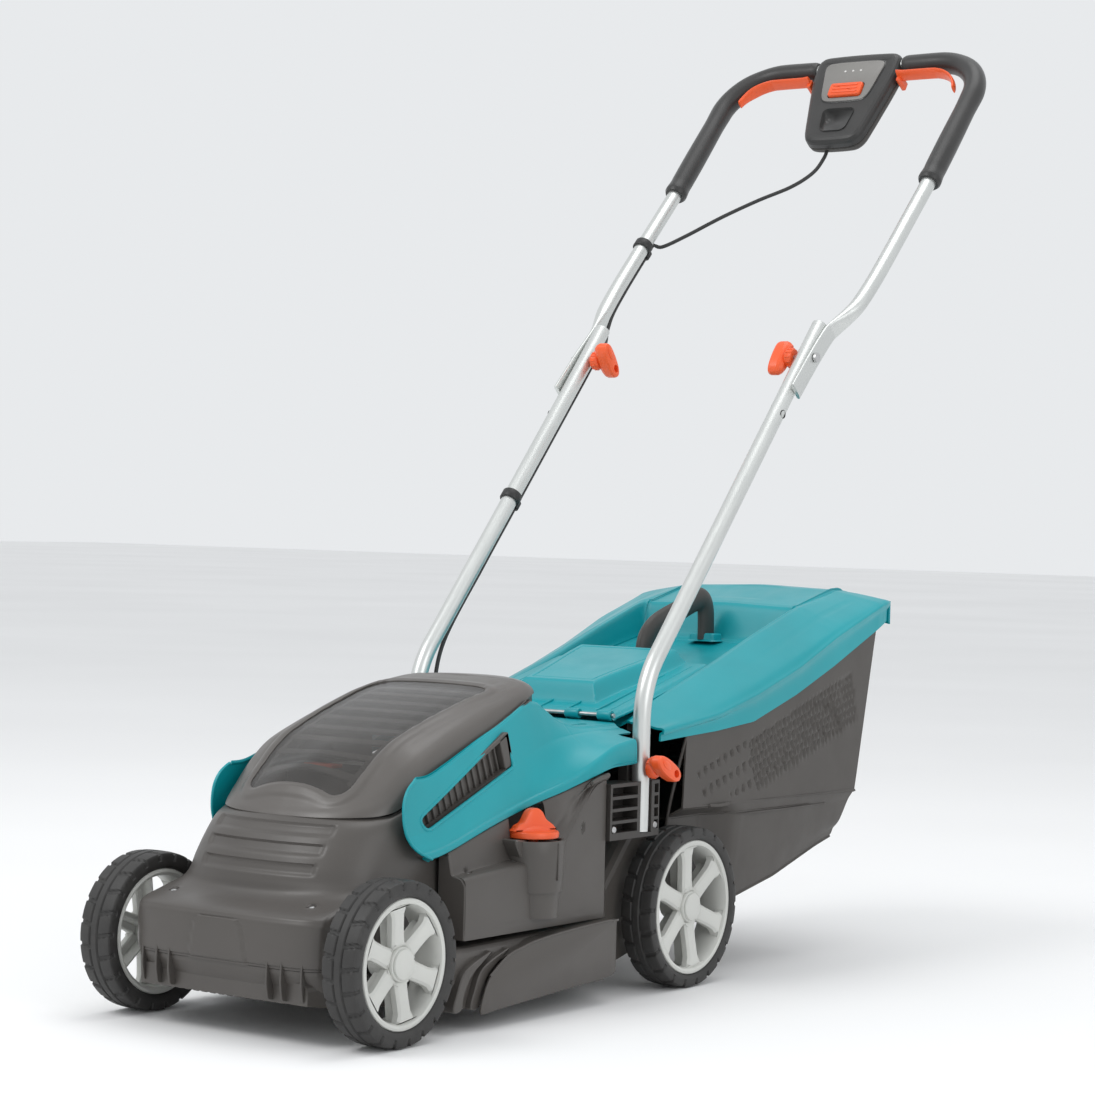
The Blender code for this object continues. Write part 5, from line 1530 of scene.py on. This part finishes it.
def build_console():
    outline = symmetric(CONSOLE_HALF, 4, x_sign=-1)
    front = stack(outline, [(0.0003, 0.0012), (0.001, 0.0004), (0.0018, 0), (0.008, 0.0004), (0.0112, 0.0018),
        (0.0138, 0.0042), (0.0152, 0.0075), (0.0158, 0.0115), (0.016, 0.015)], CONSOLE_FRAME)
    pad = rounded([(-0.019, -0.122), (0.019, -0.122), (0.025, -0.083), (-0.025, -0.083)], 0.01, 6)
    hollow = stack(pad, [(0.0135, 0.004), (0.014, 0.0016), (0.0175, 0), (0.03, 0)], CONSOLE_FRAME)
    well = stack(rectangle(-0.0265, -0.065, 0.0265, -0.039, 0.006), [(0.006, 0), (0.03, 0)], CONSOLE_FRAME)
    front = carve(front, hollow, well)
    finish("console_cover", front, "grip", "handle", ["console_front"], 40)

    back = stack(outline, [(-0.0003, 0.0012), (-0.001, 0.0004), (-0.0018, 0), (-0.007, 0.0008), (-0.011, 0.0035),
        (-0.0134, 0.008), (-0.014, 0.013)], CONSOLE_FRAME)
    finish("console_base", back, "dark", "handle", ["console_back"], 40)

    panel_shape = symmetric([(0, -0.0705), (0.02, -0.07), (0.031, -0.067), (0.037, -0.056), (0.042, -0.03),
        (0.045, -0.012), (0.042, -0.004), (0.03, -0.0015), (0, -0.001)], 4, x_sign=-1)
    panel = stack(panel_shape, [(0.0156, 0), (0.0172, 0.0002), (0.0178, 0.001)], CONSOLE_FRAME)
    well = stack(rectangle(-0.0262, -0.0645, 0.0262, -0.0395, 0.006), [(0.01, 0), (0.03, 0)], CONSOLE_FRAME)
    panel = carve(panel, well)
    finish("console_plate", panel, "panel", "handle", ["console_panel"], 40)
    trim = stack(panel_shape, [(0.015, -0.002), (0.0162, -0.002), (0.0168, -0.0012)], CONSOLE_FRAME)
    inner = stack(panel_shape, [(0.014, 0.0001), (0.019, 0.0001)], CONSOLE_FRAME)
    finish("console_trim", carve(trim, inner), "gloss", "handle", (), 40)
    marks = bmesh.new()
    for x in (-0.012, 0, 0.012):
        join(marks, lathe([(0, 0.0006), (0.0014, 0.0005), (0.0017, 0), (0, 0)], console_point(x, -0.018, 0.0177),
            CONSOLE_OUT, 16))
    finish("console_lights", marks, "label", "handle")

    button = stack(rectangle(-0.025, -0.0632, 0.025, -0.041, 0.005), [(0.0122, 0), (0.0195, 0), (0.0212, 0.0006),
        (0.0221, 0.002), (0.0224, 0.0045)], CONSOLE_FRAME)
    for k in range(3):
        up = -0.0578 + 0.0058 * k
        join(button, stack(rectangle(-0.019, up - 0.0015, 0.019, up + 0.0015, 0.0012, 3),
            [(0.0218, 0), (0.023, 0), (0.0235, 0.0007)], CONSOLE_FRAME))
    finish("start_button", button, "control", "button", ["safety_button"], 40)

    screws = bmesh.new()
    for x, up in ((0.046, 0.004), (-0.046, 0.004), (0, -0.129)):
        join(screws, lathe([(0, 0.001), (0.0016, 0.001), (0.002, 0.0018), (0.0032, 0.0014), (0.0034, 0), (0, 0)],
            console_point(x, up, -0.0142), -CONSOLE_OUT, 20))
    finish("console_screws", screws, "steel", "handle")


class MOWER_OT_console(bpy.types.Operator):
    """Switch console: two shells, a pale panel, the ribbed button and a recessed pad"""
    bl_idname = "mower.console"
    bl_label = "Switch Console"

    def execute(self, context):
        build_console()
        return {"FINISHED"}


def build_levers():
    for name, side in SIDES.items():
        reach = 0.0275
        line = [handle_point(x, reach) for x in (0.068, 0.088, 0.105)]
        line += corner_points(reach, 12)[-2::-1]
        path = resample([p + HANDLE_NORMAL * 0.006 for p in line], 60)
        if side < 0:
            path = flipped(path)

        def wide(t):
            return 0.0026 if t < 0.97 else 0.0026 - 0.001 * (t - 0.97) / 0.03

        def tall(t):
            return 0.0092 - 0.003 * step(0.72, 1, t) + 0.0012 * (1 - step(0, 0.1, t))
        bar = sweep(path, wide, HANDLE_NORMAL, 24, flat=tall)
        arm = stack(rectangle(0.0662, -0.034, 0.0725, -0.0215, 0.0022, 3), [(-0.012, 0.0008), (-0.011, 0), (0.0095, 0),
            (0.0105, 0.0008)], CONSOLE_FRAME)
        if side < 0:
            flip(arm)
        join(bar, arm)
        finish(f"lever_blade_{name}", bar, "control", f"lever_{name}", [f"start_lever_{name}"], 45)


class MOWER_OT_levers(bpy.types.Operator):
    """Two pull levers under the grips"""
    bl_idname = "mower.levers"
    bl_label = "Levers"

    def execute(self, context):
        build_levers()
        return {"FINISHED"}


def wing_knob(centre, axis, first, last, twist):
    """Clamp knob: ribbed collar with a flat two-lobed wing and a hole through it."""
    axis = Vector(axis).normalized()
    collar = lathe([(0, first), (0.0105, first), (0.0115, first + 0.001), (0.0115, first + 0.008),
        (0.01, first + 0.01), (0.008, first + 0.011), (0, first + 0.011)], (0, 0, 0), Z_AXIS, 48)
    for k in range(12):
        turn = Matrix.Rotation(2 * math.pi * k / 12, 4, "Z")
        join(collar, box((0.0108, -0.0009, first + 0.001), (0.0124, 0.0009, first + 0.0078), 0.0005, 1, turn))
    lens = symmetric([(0.0245, 0), (0.0225, 0.005), (0.015, 0.0086), (0, 0.0098), (-0.015, 0.0086), (-0.0225, 0.005),
        (-0.0245, 0)], 6, y_sign=-1)
    wing = stack(lens, [(first + 0.009, 0.005), (first + 0.013, 0.0015), (first + 0.0165, 0), (last - 0.004, 0),
        (last - 0.0014, 0.0009), (last, 0.003)])
    slot = stack(symmetric([(0.0175, 0), (0.015, 0.0036), (0.0105, 0.0042), (0.007, 0)], 5, y_sign=-1),
        [(last - 0.006, 0), (last + 0.01, 0)])
    wing = carve(wing, slot)
    ridge = stack(symmetric([(-0.019, 0), (-0.016, 0.003), (-0.006, 0.0034), (-0.002, 0)], 5, y_sign=-1),
        [(last - 0.001, 0), (last + 0.0006, 0), (last + 0.0012, 0.0008)])
    join(collar, wing, ridge)
    turn = Z_AXIS.rotation_difference(axis).to_matrix().to_4x4()
    bmesh.ops.transform(collar, matrix=Matrix.Translation(centre) @ turn @ Matrix.Rotation(twist, 4, "Z"),
        verts=collar.verts)
    face_out(collar)
    return collar


def build_knobs():
    for name, side in SIDES.items():
        for level, twist in (("lower", 62), ("upper", 35)):
            low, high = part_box(f"{level}_knob_{name}")
            centre = Vector((0, (low.y + high.y) / 2, (low.z + high.z) / 2))
            near, far = sorted((abs(low.x), abs(high.x)))
            axis = X_AXIS * side
            if level == "upper":
                centre += axis * (near + far)
                axis = -axis
            finish(f"{level}_{name}_knob_wing", wing_knob(centre, axis, near, far, math.radians(twist)), "control",
                f"{level}_{name}_knob", [f"{level}_knob_{name}"], 40)
    dress("steel", *[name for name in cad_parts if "bolt" in name and "blade" not in name])
    dress("dark", *[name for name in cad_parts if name.startswith("handle_bracket")])
    rivets = bmesh.new()
    for side in (1, -1):
        low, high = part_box("handle_bracket_left")
        for y in (low.y + 0.008, high.y - 0.008):
            join(rivets, lathe([(0, 0.0012), (0.003, 0.001), (0.0038, 0), (0, 0)], (side * high.x, y, low.z + 0.012),
                (side, 0, 0), 20))
    finish("bracket_rivets", rivets, "steel", "mower")


class MOWER_OT_knobs(bpy.types.Operator):
    """Clamp knobs at the handle's joints, with their bolts and brackets"""
    bl_idname = "mower.knobs"
    bl_label = "Clamp Knobs"

    def execute(self, context):
        build_knobs()
        return {"FINISHED"}


def build_switch_cable():
    behind = 0.0145
    shaft_up = Vector((0, math.cos(SHAFT_SLOPE), math.sin(SHAFT_SLOPE)))
    handle_back = Vector((0, math.sin(SHAFT_SLOPE), -math.cos(SHAFT_SLOPE))) * behind
    tube_up = Vector((0, math.cos(TUBE_SLOPE), math.sin(TUBE_SLOPE)))
    tube_back = Vector((0, math.sin(TUBE_SLOPE), -math.cos(TUBE_SLOPE))) * behind
    upper = [console_point(-0.012, -0.1335, -0.006), console_point(-0.012, -0.15, -0.006), (-0.019, 0.54, 1.005),
        (-0.04, 0.52, 0.985), (-0.08, 0.5, 0.966), (-0.12, 0.475, 0.943), (-0.16, 0.447, 0.916),
        (-0.185, 0.429, 0.901)]
    upper += [shaft_point(-HANDLE_X, y) + handle_back for y in (0.409, 0.395, 0.381)]
    upper += [shaft_point(-0.1925, 0.345) + handle_back, shaft_point(-0.1895, 0.312) + handle_back]
    meeting = Vector((-0.184, 0.3015, 0.779))
    upper.append(meeting)
    lower = [meeting, (-0.173, 0.282, 0.7615), tube_point(0.246, -0.1625) + tube_back]
    lower += [tube_point(y, -TUBE_X) + tube_back for y in (0.215, 0.16, 0.08, 0.067, 0.054, 0)]
    lower += [(-0.16, -0.062, 0.386), (-0.153, -0.09, 0.33), (-0.144, -0.096, 0.299)]
    finish("switch_cable_top", sweep(resample(upper, 150), 0.0025, (0.3, 0.8, -0.5), 16), "cable", "handle",
        ["switch_cable_upper"], 60)
    finish("switch_cable_foot", sweep(resample(lower, 150), 0.0025, X_AXIS, 16), "cable", "mower",
        ["switch_cable_lower"], 60)
    for name, point, along, back, radius, body in (("upper", shaft_point(-HANDLE_X, 0.395), shaft_up, handle_back,
            0.0098, "handle"), ("lower", tube_point(0.067, -TUBE_X), tube_up, tube_back, 0.01, "mower")):
        ring = lathe([(radius + 0.0004, -0.0058), (radius + 0.0022, -0.0058), (radius + 0.0028, -0.005),
            (radius + 0.0028, 0.005), (radius + 0.0022, 0.0058), (radius + 0.0004, 0.0058),
            (radius + 0.0004, -0.0058)], point, along, 48)
        join(ring, lathe([(0.0027, -0.0055), (0.0046, -0.0055), (0.005, -0.0048), (0.005, 0.0048), (0.0046, 0.0055),
            (0.0027, 0.0055), (0.0027, -0.0055)], point + back, along, 32))
        finish(f"cable_clip_{name}_ring", ring, "cable", body, [f"cable_clip_{name}"], 40)


class MOWER_OT_switch_cable(bpy.types.Operator):
    """Cable from the console to the motor's cover, with its clips"""
    bl_idname = "mower.switch_cable"
    bl_label = "Switch Cable"

    def execute(self, context):
        build_switch_cable()
        return {"FINISHED"}


# Flap and grass box

FLAP_ROWS = [(-0.0985, 0.3085, 0.112), (-0.0975, 0.3105, 0.113), (-0.09, 0.3128, 0.113), (-0.066, 0.3178, 0.113),
    (-0.052, 0.3218, 0.113), (0.02, 0.341, 0.113), (0.095, 0.3612, 0.113), (0.103, 0.3634, 0.112),
    (0.105, 0.363, 0.111)]


FLAP_HINGE = (-0.0975, 0.3095)


def build_rear_flap():

    def height(place):
        y, x = place.y, abs(place.x)
        half = 0.06 + 0.018 * step(-0.052, 0.095, y)
        inside = min(half - x, y + 0.06, 0.103 - y)
        rise = 0.0215 * step(-0.003, 0.012, inside) * (1 - 0.12 * step(-0.05, 0.1, y))
        rise -= 0.0014 * (1 - step(0, 0.0014, abs(inside - 0.0175))) * step(-0.05, -0.035, y)
        rise -= 0.0012 * (1 - step(0, 0.0012, abs(x - 0.095))) * (1 - step(0.088, 0.094, y))
        rise -= 0.001 * (1 - step(0, 0.0012, abs(y + 0.079)))
        return rise

    def place(u, v):
        y = -0.0985 + 0.2035 * v
        z, half = table(FLAP_ROWS, y)
        x = half * (2 * u - 1)
        fall = step(half - 0.006, half, abs(x))
        point = Vector((x, y, z - 0.004 * fall))
        return point + Vector((0, 0, height(point)))
    bm = thicken(sheet(place, 200, 150, (0, 0, 0.1)), 0.0024)
    finish("rear_flap_panel", bm, "cowl", "flap", ["rear_flap"], 38)

    eyes = bmesh.new()
    for x in (-0.1, -0.055, 0, 0.055, 0.1):
        join(eyes, lathe([(0.003, -0.009), (0.0055, -0.009), (0.006, -0.0082), (0.006, 0.0082), (0.0055, 0.009),
            (0.003, 0.009), (0.003, -0.009)], (x, *FLAP_HINGE), X_AXIS, 28))
    for x in (-0.08, -0.04, 0, 0.04, 0.08):
        join(eyes, box((x - 0.001, -0.085, 0.304), (x + 0.001, 0.06, 0.315), 0.0004, 1,
            Matrix.Translation((0, -0.085, 0.309)) @ Matrix.Rotation(math.radians(14.5), 4,
            "X") @ Matrix.Translation((0, 0.085, -0.309))))
    finish("flap_hinge_eyes", eyes, "cowl", "flap")
    rod = sweep([(x, *FLAP_HINGE) for x in (-0.112, 0, 0.112)], 0.0025, Z_AXIS, 16)
    finish("flap_hinge_rod", rod, "steel", "mower")


class MOWER_OT_rear_flap(bpy.types.Operator):
    """Rear flap with its raised middle panel, hinge eyes and stiffening ribs"""
    bl_idname = "mower.rear_flap"
    bl_label = "Rear Flap"

    def execute(self, context):
        build_rear_flap()
        return {"FINISHED"}


LID_ROWS = [
    # y, half width, foot z, edge z, shoulder z at x .118, inner z at x .108, middle z
    (-0.075, 0.166, 0.2825, 0.296, 0.303, 0.298, 0.298),
    (-0.03, 0.17, 0.286, 0.303, 0.322, 0.311, 0.311),
    (0.03, 0.174, 0.29, 0.312, 0.341, 0.328, 0.328),
    (0.107, 0.178, 0.298, 0.332, 0.366, 0.35, 0.35),
    (0.2, 0.181, 0.327, 0.362, 0.398, 0.368, 0.368),
    (0.285, 0.183, 0.359, 0.397, 0.425, 0.386, 0.386),
    (0.302, 0.1832, 0.366, 0.403, 0.43, 0.427, 0.43),
    (0.395, 0.184, 0.404, 0.434, 0.449, 0.45, 0.453),
    (0.416, 0.182, 0.412, 0.438, 0.45, 0.451, 0.454),
    (0.428, 0.177, 0.415, 0.437, 0.445, 0.446, 0.448),
]


def even_rows(rows, count):
    """The same rows read at even steps of their first value."""
    first, last = rows[0][0], rows[-1][0]
    return [(y, *table(rows, y)) for y in (first + (last - first) * i / count for i in range(count + 1))]


def box_lid_net():
    net = []
    for y, half, foot, edge, shoulder, inner, middle in even_rows(LID_ROWS, 60):
        net.append(mirrored([Vector((x, y, z)) for x, z in ((half - 0.0045, foot),
            (half - 0.004, foot + (edge - foot) * 0.55), (half - 0.0012, edge - 0.006), (half, edge - 0.0015),
            (half - 0.003, edge + 0.0015), (half - 0.012, edge + (shoulder - edge) * 0.3),
            (0.14, edge + (shoulder - edge) * 0.72), (0.123, shoulder - 0.0012), (0.117, shoulder),
            (0.112, shoulder - 0.001), (0.109, (shoulder + inner) / 2), (0.106, inner + 0.0015), (0.1, inner),
            (0.05, (inner + middle) / 2), (0, middle))]))
    return net


TUB_ROWS = [
    # y, top half width, top z, waist half width at z .188, foot half width, bottom z, lean
    (-0.022, 0.163, 0.292, 0.138, 0.128, 0.1, 0),
    (0.055, 0.168, 0.298, 0.138, 0.13, 0.08, 0),
    (0.09, 0.1705, 0.302, 0.162, 0.148, 0.08, 0),
    (0.2, 0.1745, 0.333, 0.166, 0.152, 0.104, 0),
    (0.3, 0.1765, 0.372, 0.166, 0.151, 0.132, 0),
    (0.34, 0.177, 0.404, 0.165, 0.15, 0.141, 0.2),
]


def box_vents(place):
    """Rows of slots in the grass box's sides, sparse at the front and dense at the rear."""
    along = Vector((0.357, 0.12))
    run = along.length
    along = along / run
    start = Vector((0.014, 0.211))
    here = place.yz - start
    s, t = here.dot(along), here.dot(Vector((-along.y, along.x)))
    if not 0 < s < run - 0.03 or not -0.034 < t < 0.034:
        return 0
    pitch, tall = (0.0135, 0.0125) if s < 0.105 else (0.0088, 0.0108)
    row = math.floor(t / tall)
    rows = sizes().vent_rows
    if not -rows / 2 <= row + 0.5 <= rows / 2:
        return 0
    if s < 0.105 and row % 2:
        return 0
    column = (s + row * 0.003) % pitch / pitch - 0.5
    across = abs(column) * pitch
    up = abs(t / tall - row - 0.5) * tall
    return (1 - step(0.0018, 0.003, across)) * (1 - step(0.0028, 0.0042, up))


def build_grass_box():

    def lid_relief(place):
        x, y = abs(place.x), place.y
        depth = 0.0
        if x < 0.106 and y < 0.292:
            inner = min(0.0975 - x, 0.278 - y, y + 0.04)
            depth -= 0.0022 * step(-0.0015, 0.0015, inner)
            depth += 0.0012 * (1 - step(0, 0.0018, abs(abs(x) - 0.056))) * step(0.115, 0.125, y)
        depth -= 0.0011 * (1 - step(0, 0.0014, abs(x - 0.148))) * step(0.02, 0.05, y) * (1 - step(0.36, 0.385, y))
        depth -= 0.001 * (1 - step(0, 0.0013, abs(y - 0.312))) * (1 - step(0.1, 0.104, x))
        if y > 0.325 and x < 0.06:
            inner = min(0.04 - x, y - 0.335, 0.395 - y)
            depth -= 0.001 * step(-0.0008, 0.001, inner)
        return depth
    bm = net_sheet(box_lid_net(), 210, 190, (0, 0.18, 0.2))
    emboss(bm, lid_relief)
    finish("grass_box_cover", thicken(bm, 0.0026), "cowl", "grass_box", ["grass_box_lid"], 38)

    def rear_lip(u, v):
        angle = math.pi * (u - 0.5)
        x = 0.177 * math.sin(angle)
        y = 0.428 + 0.006 * math.cos(angle)
        return Vector((x, y, 0.413 + (0.442 - 0.413) * v - 0.004 * abs(math.sin(angle)) ** 8))
    end = thicken(sheet(rear_lip, 80, 8, (0, 0.2, 0.42)), 0.0025)
    finish("grass_box_rear_lip", end, "cowl", "grass_box")

    net = []
    for y, top, top_z, waist, foot, bottom, lean in even_rows(TUB_ROWS, 30):
        def at(x, z, y=y, lean=lean, bottom=bottom):
            return Vector((x, y + lean * (z - bottom), z))
        net.append(mirrored([at(top, top_z), at(top - 0.001, top_z - (top_z - 0.206) * 0.33),
            at(top - 0.002, top_z - (top_z - 0.206) * 0.66), at(top - 0.0032, 0.206), at(top - 0.0045, 0.2015),
            at(waist + 0.0015, 0.1905), at(waist, 0.186), at(waist - (waist - foot) * 0.5, (0.186 + bottom) / 2),
            at(foot, bottom + 0.012), at(foot - 0.003, bottom + 0.004), at(foot - 0.012, bottom), at(0.05, bottom),
            at(0, bottom)]))

    def tub_relief(place):
        x, y = abs(place.x), place.y
        depth = 0.0
        if x > 0.13 and 0 < y < 0.385 and place.z > 0.2135:
            depth -= 0.003 * box_vents(place)
        return depth
    bm = net_sheet(net, 250, 190, (0, 0.16, 0.25))
    emboss(bm, tub_relief)
    tub = thicken(bm, 0.0024)
    finish("grass_box_shell", tub, "tub", "grass_box", ["grass_box_tub"], 38)

    def back_wall(u, v):
        z = 0.141 + 0.265 * v
        half = table([(0.141, 0.138), (0.146, 0.148), (0.153, 0.15), (0.186, 0.165), (0.191, 0.1668), (0.202, 0.1725),
            (0.206, 0.1738), (0.404, 0.177)], z)
        x = half * (2 * u - 1)
        return Vector((x, 0.34 + 0.2 * (z - 0.141) + 0.008 * (1 - (x / half) ** 4), z))

    def back_relief(place):
        x, z = abs(place.x), place.z
        gap = min(0.12 - x, z - 0.19, 0.37 - z)
        depth = -0.002 * step(-0.001, 0.002, gap)
        if gap > 0.01:
            depth -= 0.0022 * (1 - step(0.0016, 0.0028, abs((z * 1000) % 11 - 5.5) / 1000)) * (1 - step(0, 0.0012,
                abs(x % 0.03 - 0.015) - 0.0125))
        return depth
    back = sheet(back_wall, 180, 150, (0, 0.1, 0.27))
    emboss(back, back_relief)
    finish("grass_box_back", thicken(back, 0.0024), "tub", "grass_box", (), 38)

    trim = bmesh.new()
    for side in (1, -1):
        ledge = [(side * x, y, 0.189) for x, y in ((0.135, 0.06), (0.15, 0.078), (0.16, 0.09), (0.166, 0.13),
            (0.1672, 0.2), (0.1668, 0.29))]
        join(trim, sweep(resample(ledge, 80), 0.0014, Z_AXIS, 12))
        mouth = [(side * x, -0.0215, z) for x, z in ((0.129, 0.101), (0.138, 0.188), (0.151, 0.245), (0.163, 0.29))]
        join(trim, sweep(resample(mouth, 40), 0.002, Y_AXIS, 12))
    join(trim, sweep([(x, -0.0215, 0.1005) for x in (-0.129, 0, 0.129)], 0.002, Y_AXIS, 12))
    for side in (1, -1):
        join(trim, box((side * 0.09 - 0.006, -0.03, 0.288), (side * 0.09 + 0.006, -0.018, 0.306), 0.0018))
    finish("grass_box_edges", trim, "tub", "grass_box")

    line = [(0.128, 0.3575), (0.1295, 0.374), (0.135, 0.389), (0.15, 0.402), (0.175, 0.4125), (0.2, 0.4205),
        (0.225, 0.429), (0.245, 0.435), (0.26, 0.4345), (0.268, 0.424), (0.27, 0.405), (0.27, 0.385)]
    path = resample([(0, y, z) for y, z in line], 120)

    def wide(t):
        return 0.015 - 0.0012 * step(0.25, 0.45, t) * (1 - step(0.6, 0.8, t))
    bar = sweep(path, wide, X_AXIS, 40, flat=0.0078)
    for vert in bar.verts:
        if vert.co.z > 0.395:
            groove = abs((vert.co.x * 1000 + 2.5) % 5 - 2.5) / 2.5
            vert.co.z -= 0.0007 * groove * (1 - step(0.011, 0.0145, abs(vert.co.x)))
    finish("grass_box_grip", bar, "dark", "grass_box", ["grass_box_handle"], 30)
    collars = bmesh.new()
    for y, z in ((0.128, 0.354), (0.27, 0.383)):
        join(collars, stack(rectangle(-0.0185, -0.0115, 0.0185, 0.0115, 0.006), [(0, -0.003), (0.002, -0.0005),
            (0.008, 0), (0.01, 0.0015)], Matrix.Translation((0, y, z))))
    finish("grass_box_grip_collars", collars, "cowl", "grass_box")


class MOWER_OT_grass_box(bpy.types.Operator):
    """Grass box: ribbed tub, coloured lid and carrying handle"""
    bl_idname = "mower.grass_box"
    bl_label = "Grass Box"

    def execute(self, context):
        build_grass_box()
        return {"FINISHED"}


class MOWER_OT_underside(bpy.types.Operator):
    """Finishes for the deck, motor, blade and brackets, which keep their solids"""
    bl_idname = "mower.underside"
    bl_label = "Deck and Blade"

    def execute(self, context):
        dress("body", "deck_housing")
        dress("steel", "motor_shaft", "blade_bolt", "motor")
        dress("blade", "blade")
        dress("dark", "blade_carrier")
        for name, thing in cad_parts.items():
            if not thing.material_slots or thing.material_slots[0].material is None:
                dress("dark", name)
        return {"FINISHED"}


# Stage

def build_stage():
    scene = bpy.context.scene
    camera = bpy.data.objects.new("camera", bpy.data.cameras.new("camera"))
    camera.data.lens = 95.79
    camera.data.sensor_width = 36.0
    camera.data.clip_end = 60.0
    right = Vector((0.8144, 0.57977, 0.02488)).normalized()
    back = Vector((0.57972, -0.81476, 0.00963)).normalized()
    up = back.cross(right).normalized()
    camera.matrix_world = (Matrix.Translation((1.96928, -2.84693, 0.5313)) @ Matrix((right, up,
        back)).transposed().to_4x4())
    scene.collection.objects.link(camera)
    scene.camera = camera

    floor = bmesh.new()
    bmesh.ops.create_grid(floor, x_segments=2, y_segments=2, size=30.0)
    ground = as_object("floor", floor)
    material, tree, bsdf = shader("studio floor")
    haze = noise(tree, 0.6, 2)
    ramp(tree, haze, bsdf.inputs["Base Color"], (0.86, 0.86, 0.86), (0.9, 0.9, 0.9))
    bsdf.inputs["Roughness"].default_value = 0.85
    bsdf.inputs["Specular IOR Level"].default_value = 0.2
    ground.data.materials.append(material)

    world = bpy.data.worlds.new("studio")
    world.use_nodes = True
    world.node_tree.nodes["Background"].inputs["Color"].default_value = (0.96, 0.98, 1, 1)
    world.node_tree.nodes["Background"].inputs["Strength"].default_value = 0.84
    scene.world = world
    for name, place, aim, size, power in (("key", (-1.2, -2.6, 3.2), (0, 0.1, 0.3), 2, 46),
            ("fill", (3.6, -1, 1.8), (0, 0, 0.35), 2.4, 22), ("top", (0.3, 0.6, 3.6), (0, 0, 0.3), 2.2, 24)):
        light = bpy.data.objects.new(name, bpy.data.lights.new(name, "AREA"))
        light.data.shape = "DISK"
        light.data.size = size
        light.data.energy = power
        light.location = place
        light.rotation_euler = (Vector(aim) - Vector(place)).to_track_quat("-Z", "Y").to_euler()
        scene.collection.objects.link(light)
    scene.view_settings.view_transform = "Standard"


class MOWER_OT_stage(bpy.types.Operator):
    """Floor, soft studio lights and the camera"""
    bl_idname = "mower.stage"
    bl_label = "Stage"

    def execute(self, context):
        build_stage()
        return {"FINISHED"}


# Panel and registration

OPERATORS = [MOWER_OT_stage, MOWER_OT_front_cover, MOWER_OT_battery_lid, MOWER_OT_battery, MOWER_OT_cowl,
    MOWER_OT_side_covers, MOWER_OT_side_combs, MOWER_OT_wheels, MOWER_OT_tubes, MOWER_OT_grips, MOWER_OT_console,
    MOWER_OT_levers, MOWER_OT_knobs, MOWER_OT_switch_cable, MOWER_OT_rear_flap, MOWER_OT_grass_box, MOWER_OT_underside]


class MOWER_PT_panel(bpy.types.Panel):
    """Sizes, colours and pieces of the mower"""
    bl_label = "Rotary Lawn Mower"
    bl_idname = "MOWER_PT_panel"
    bl_space_type = "VIEW_3D"
    bl_region_type = "UI"
    bl_category = "Mower"

    def draw(self, context):
        layout = self.layout
        for settings in (context.scene.mower_sizes, context.scene.mower_colours):
            column = layout.column(align=True)
            for name in settings.__annotations__:
                column.prop(settings, name)
        column = layout.column(align=True)
        for operator in OPERATORS:
            column.operator(operator.bl_idname)


CLASSES = [MowerColours, MowerSizes, *OPERATORS, MOWER_PT_panel]


def register():
    for item in CLASSES:
        bpy.utils.register_class(item)
    bpy.types.Scene.mower_colours = bpy.props.PointerProperty(type=MowerColours)
    bpy.types.Scene.mower_sizes = bpy.props.PointerProperty(type=MowerSizes)


def unregister():
    del bpy.types.Scene.mower_sizes
    del bpy.types.Scene.mower_colours
    for item in reversed(CLASSES):
        bpy.utils.unregister_class(item)


def main():
    register()
    for operator in OPERATORS:
        group, name = operator.bl_idname.split(".")
        getattr(getattr(bpy.ops, group), name)()


if __name__ == "__main__":
    main()
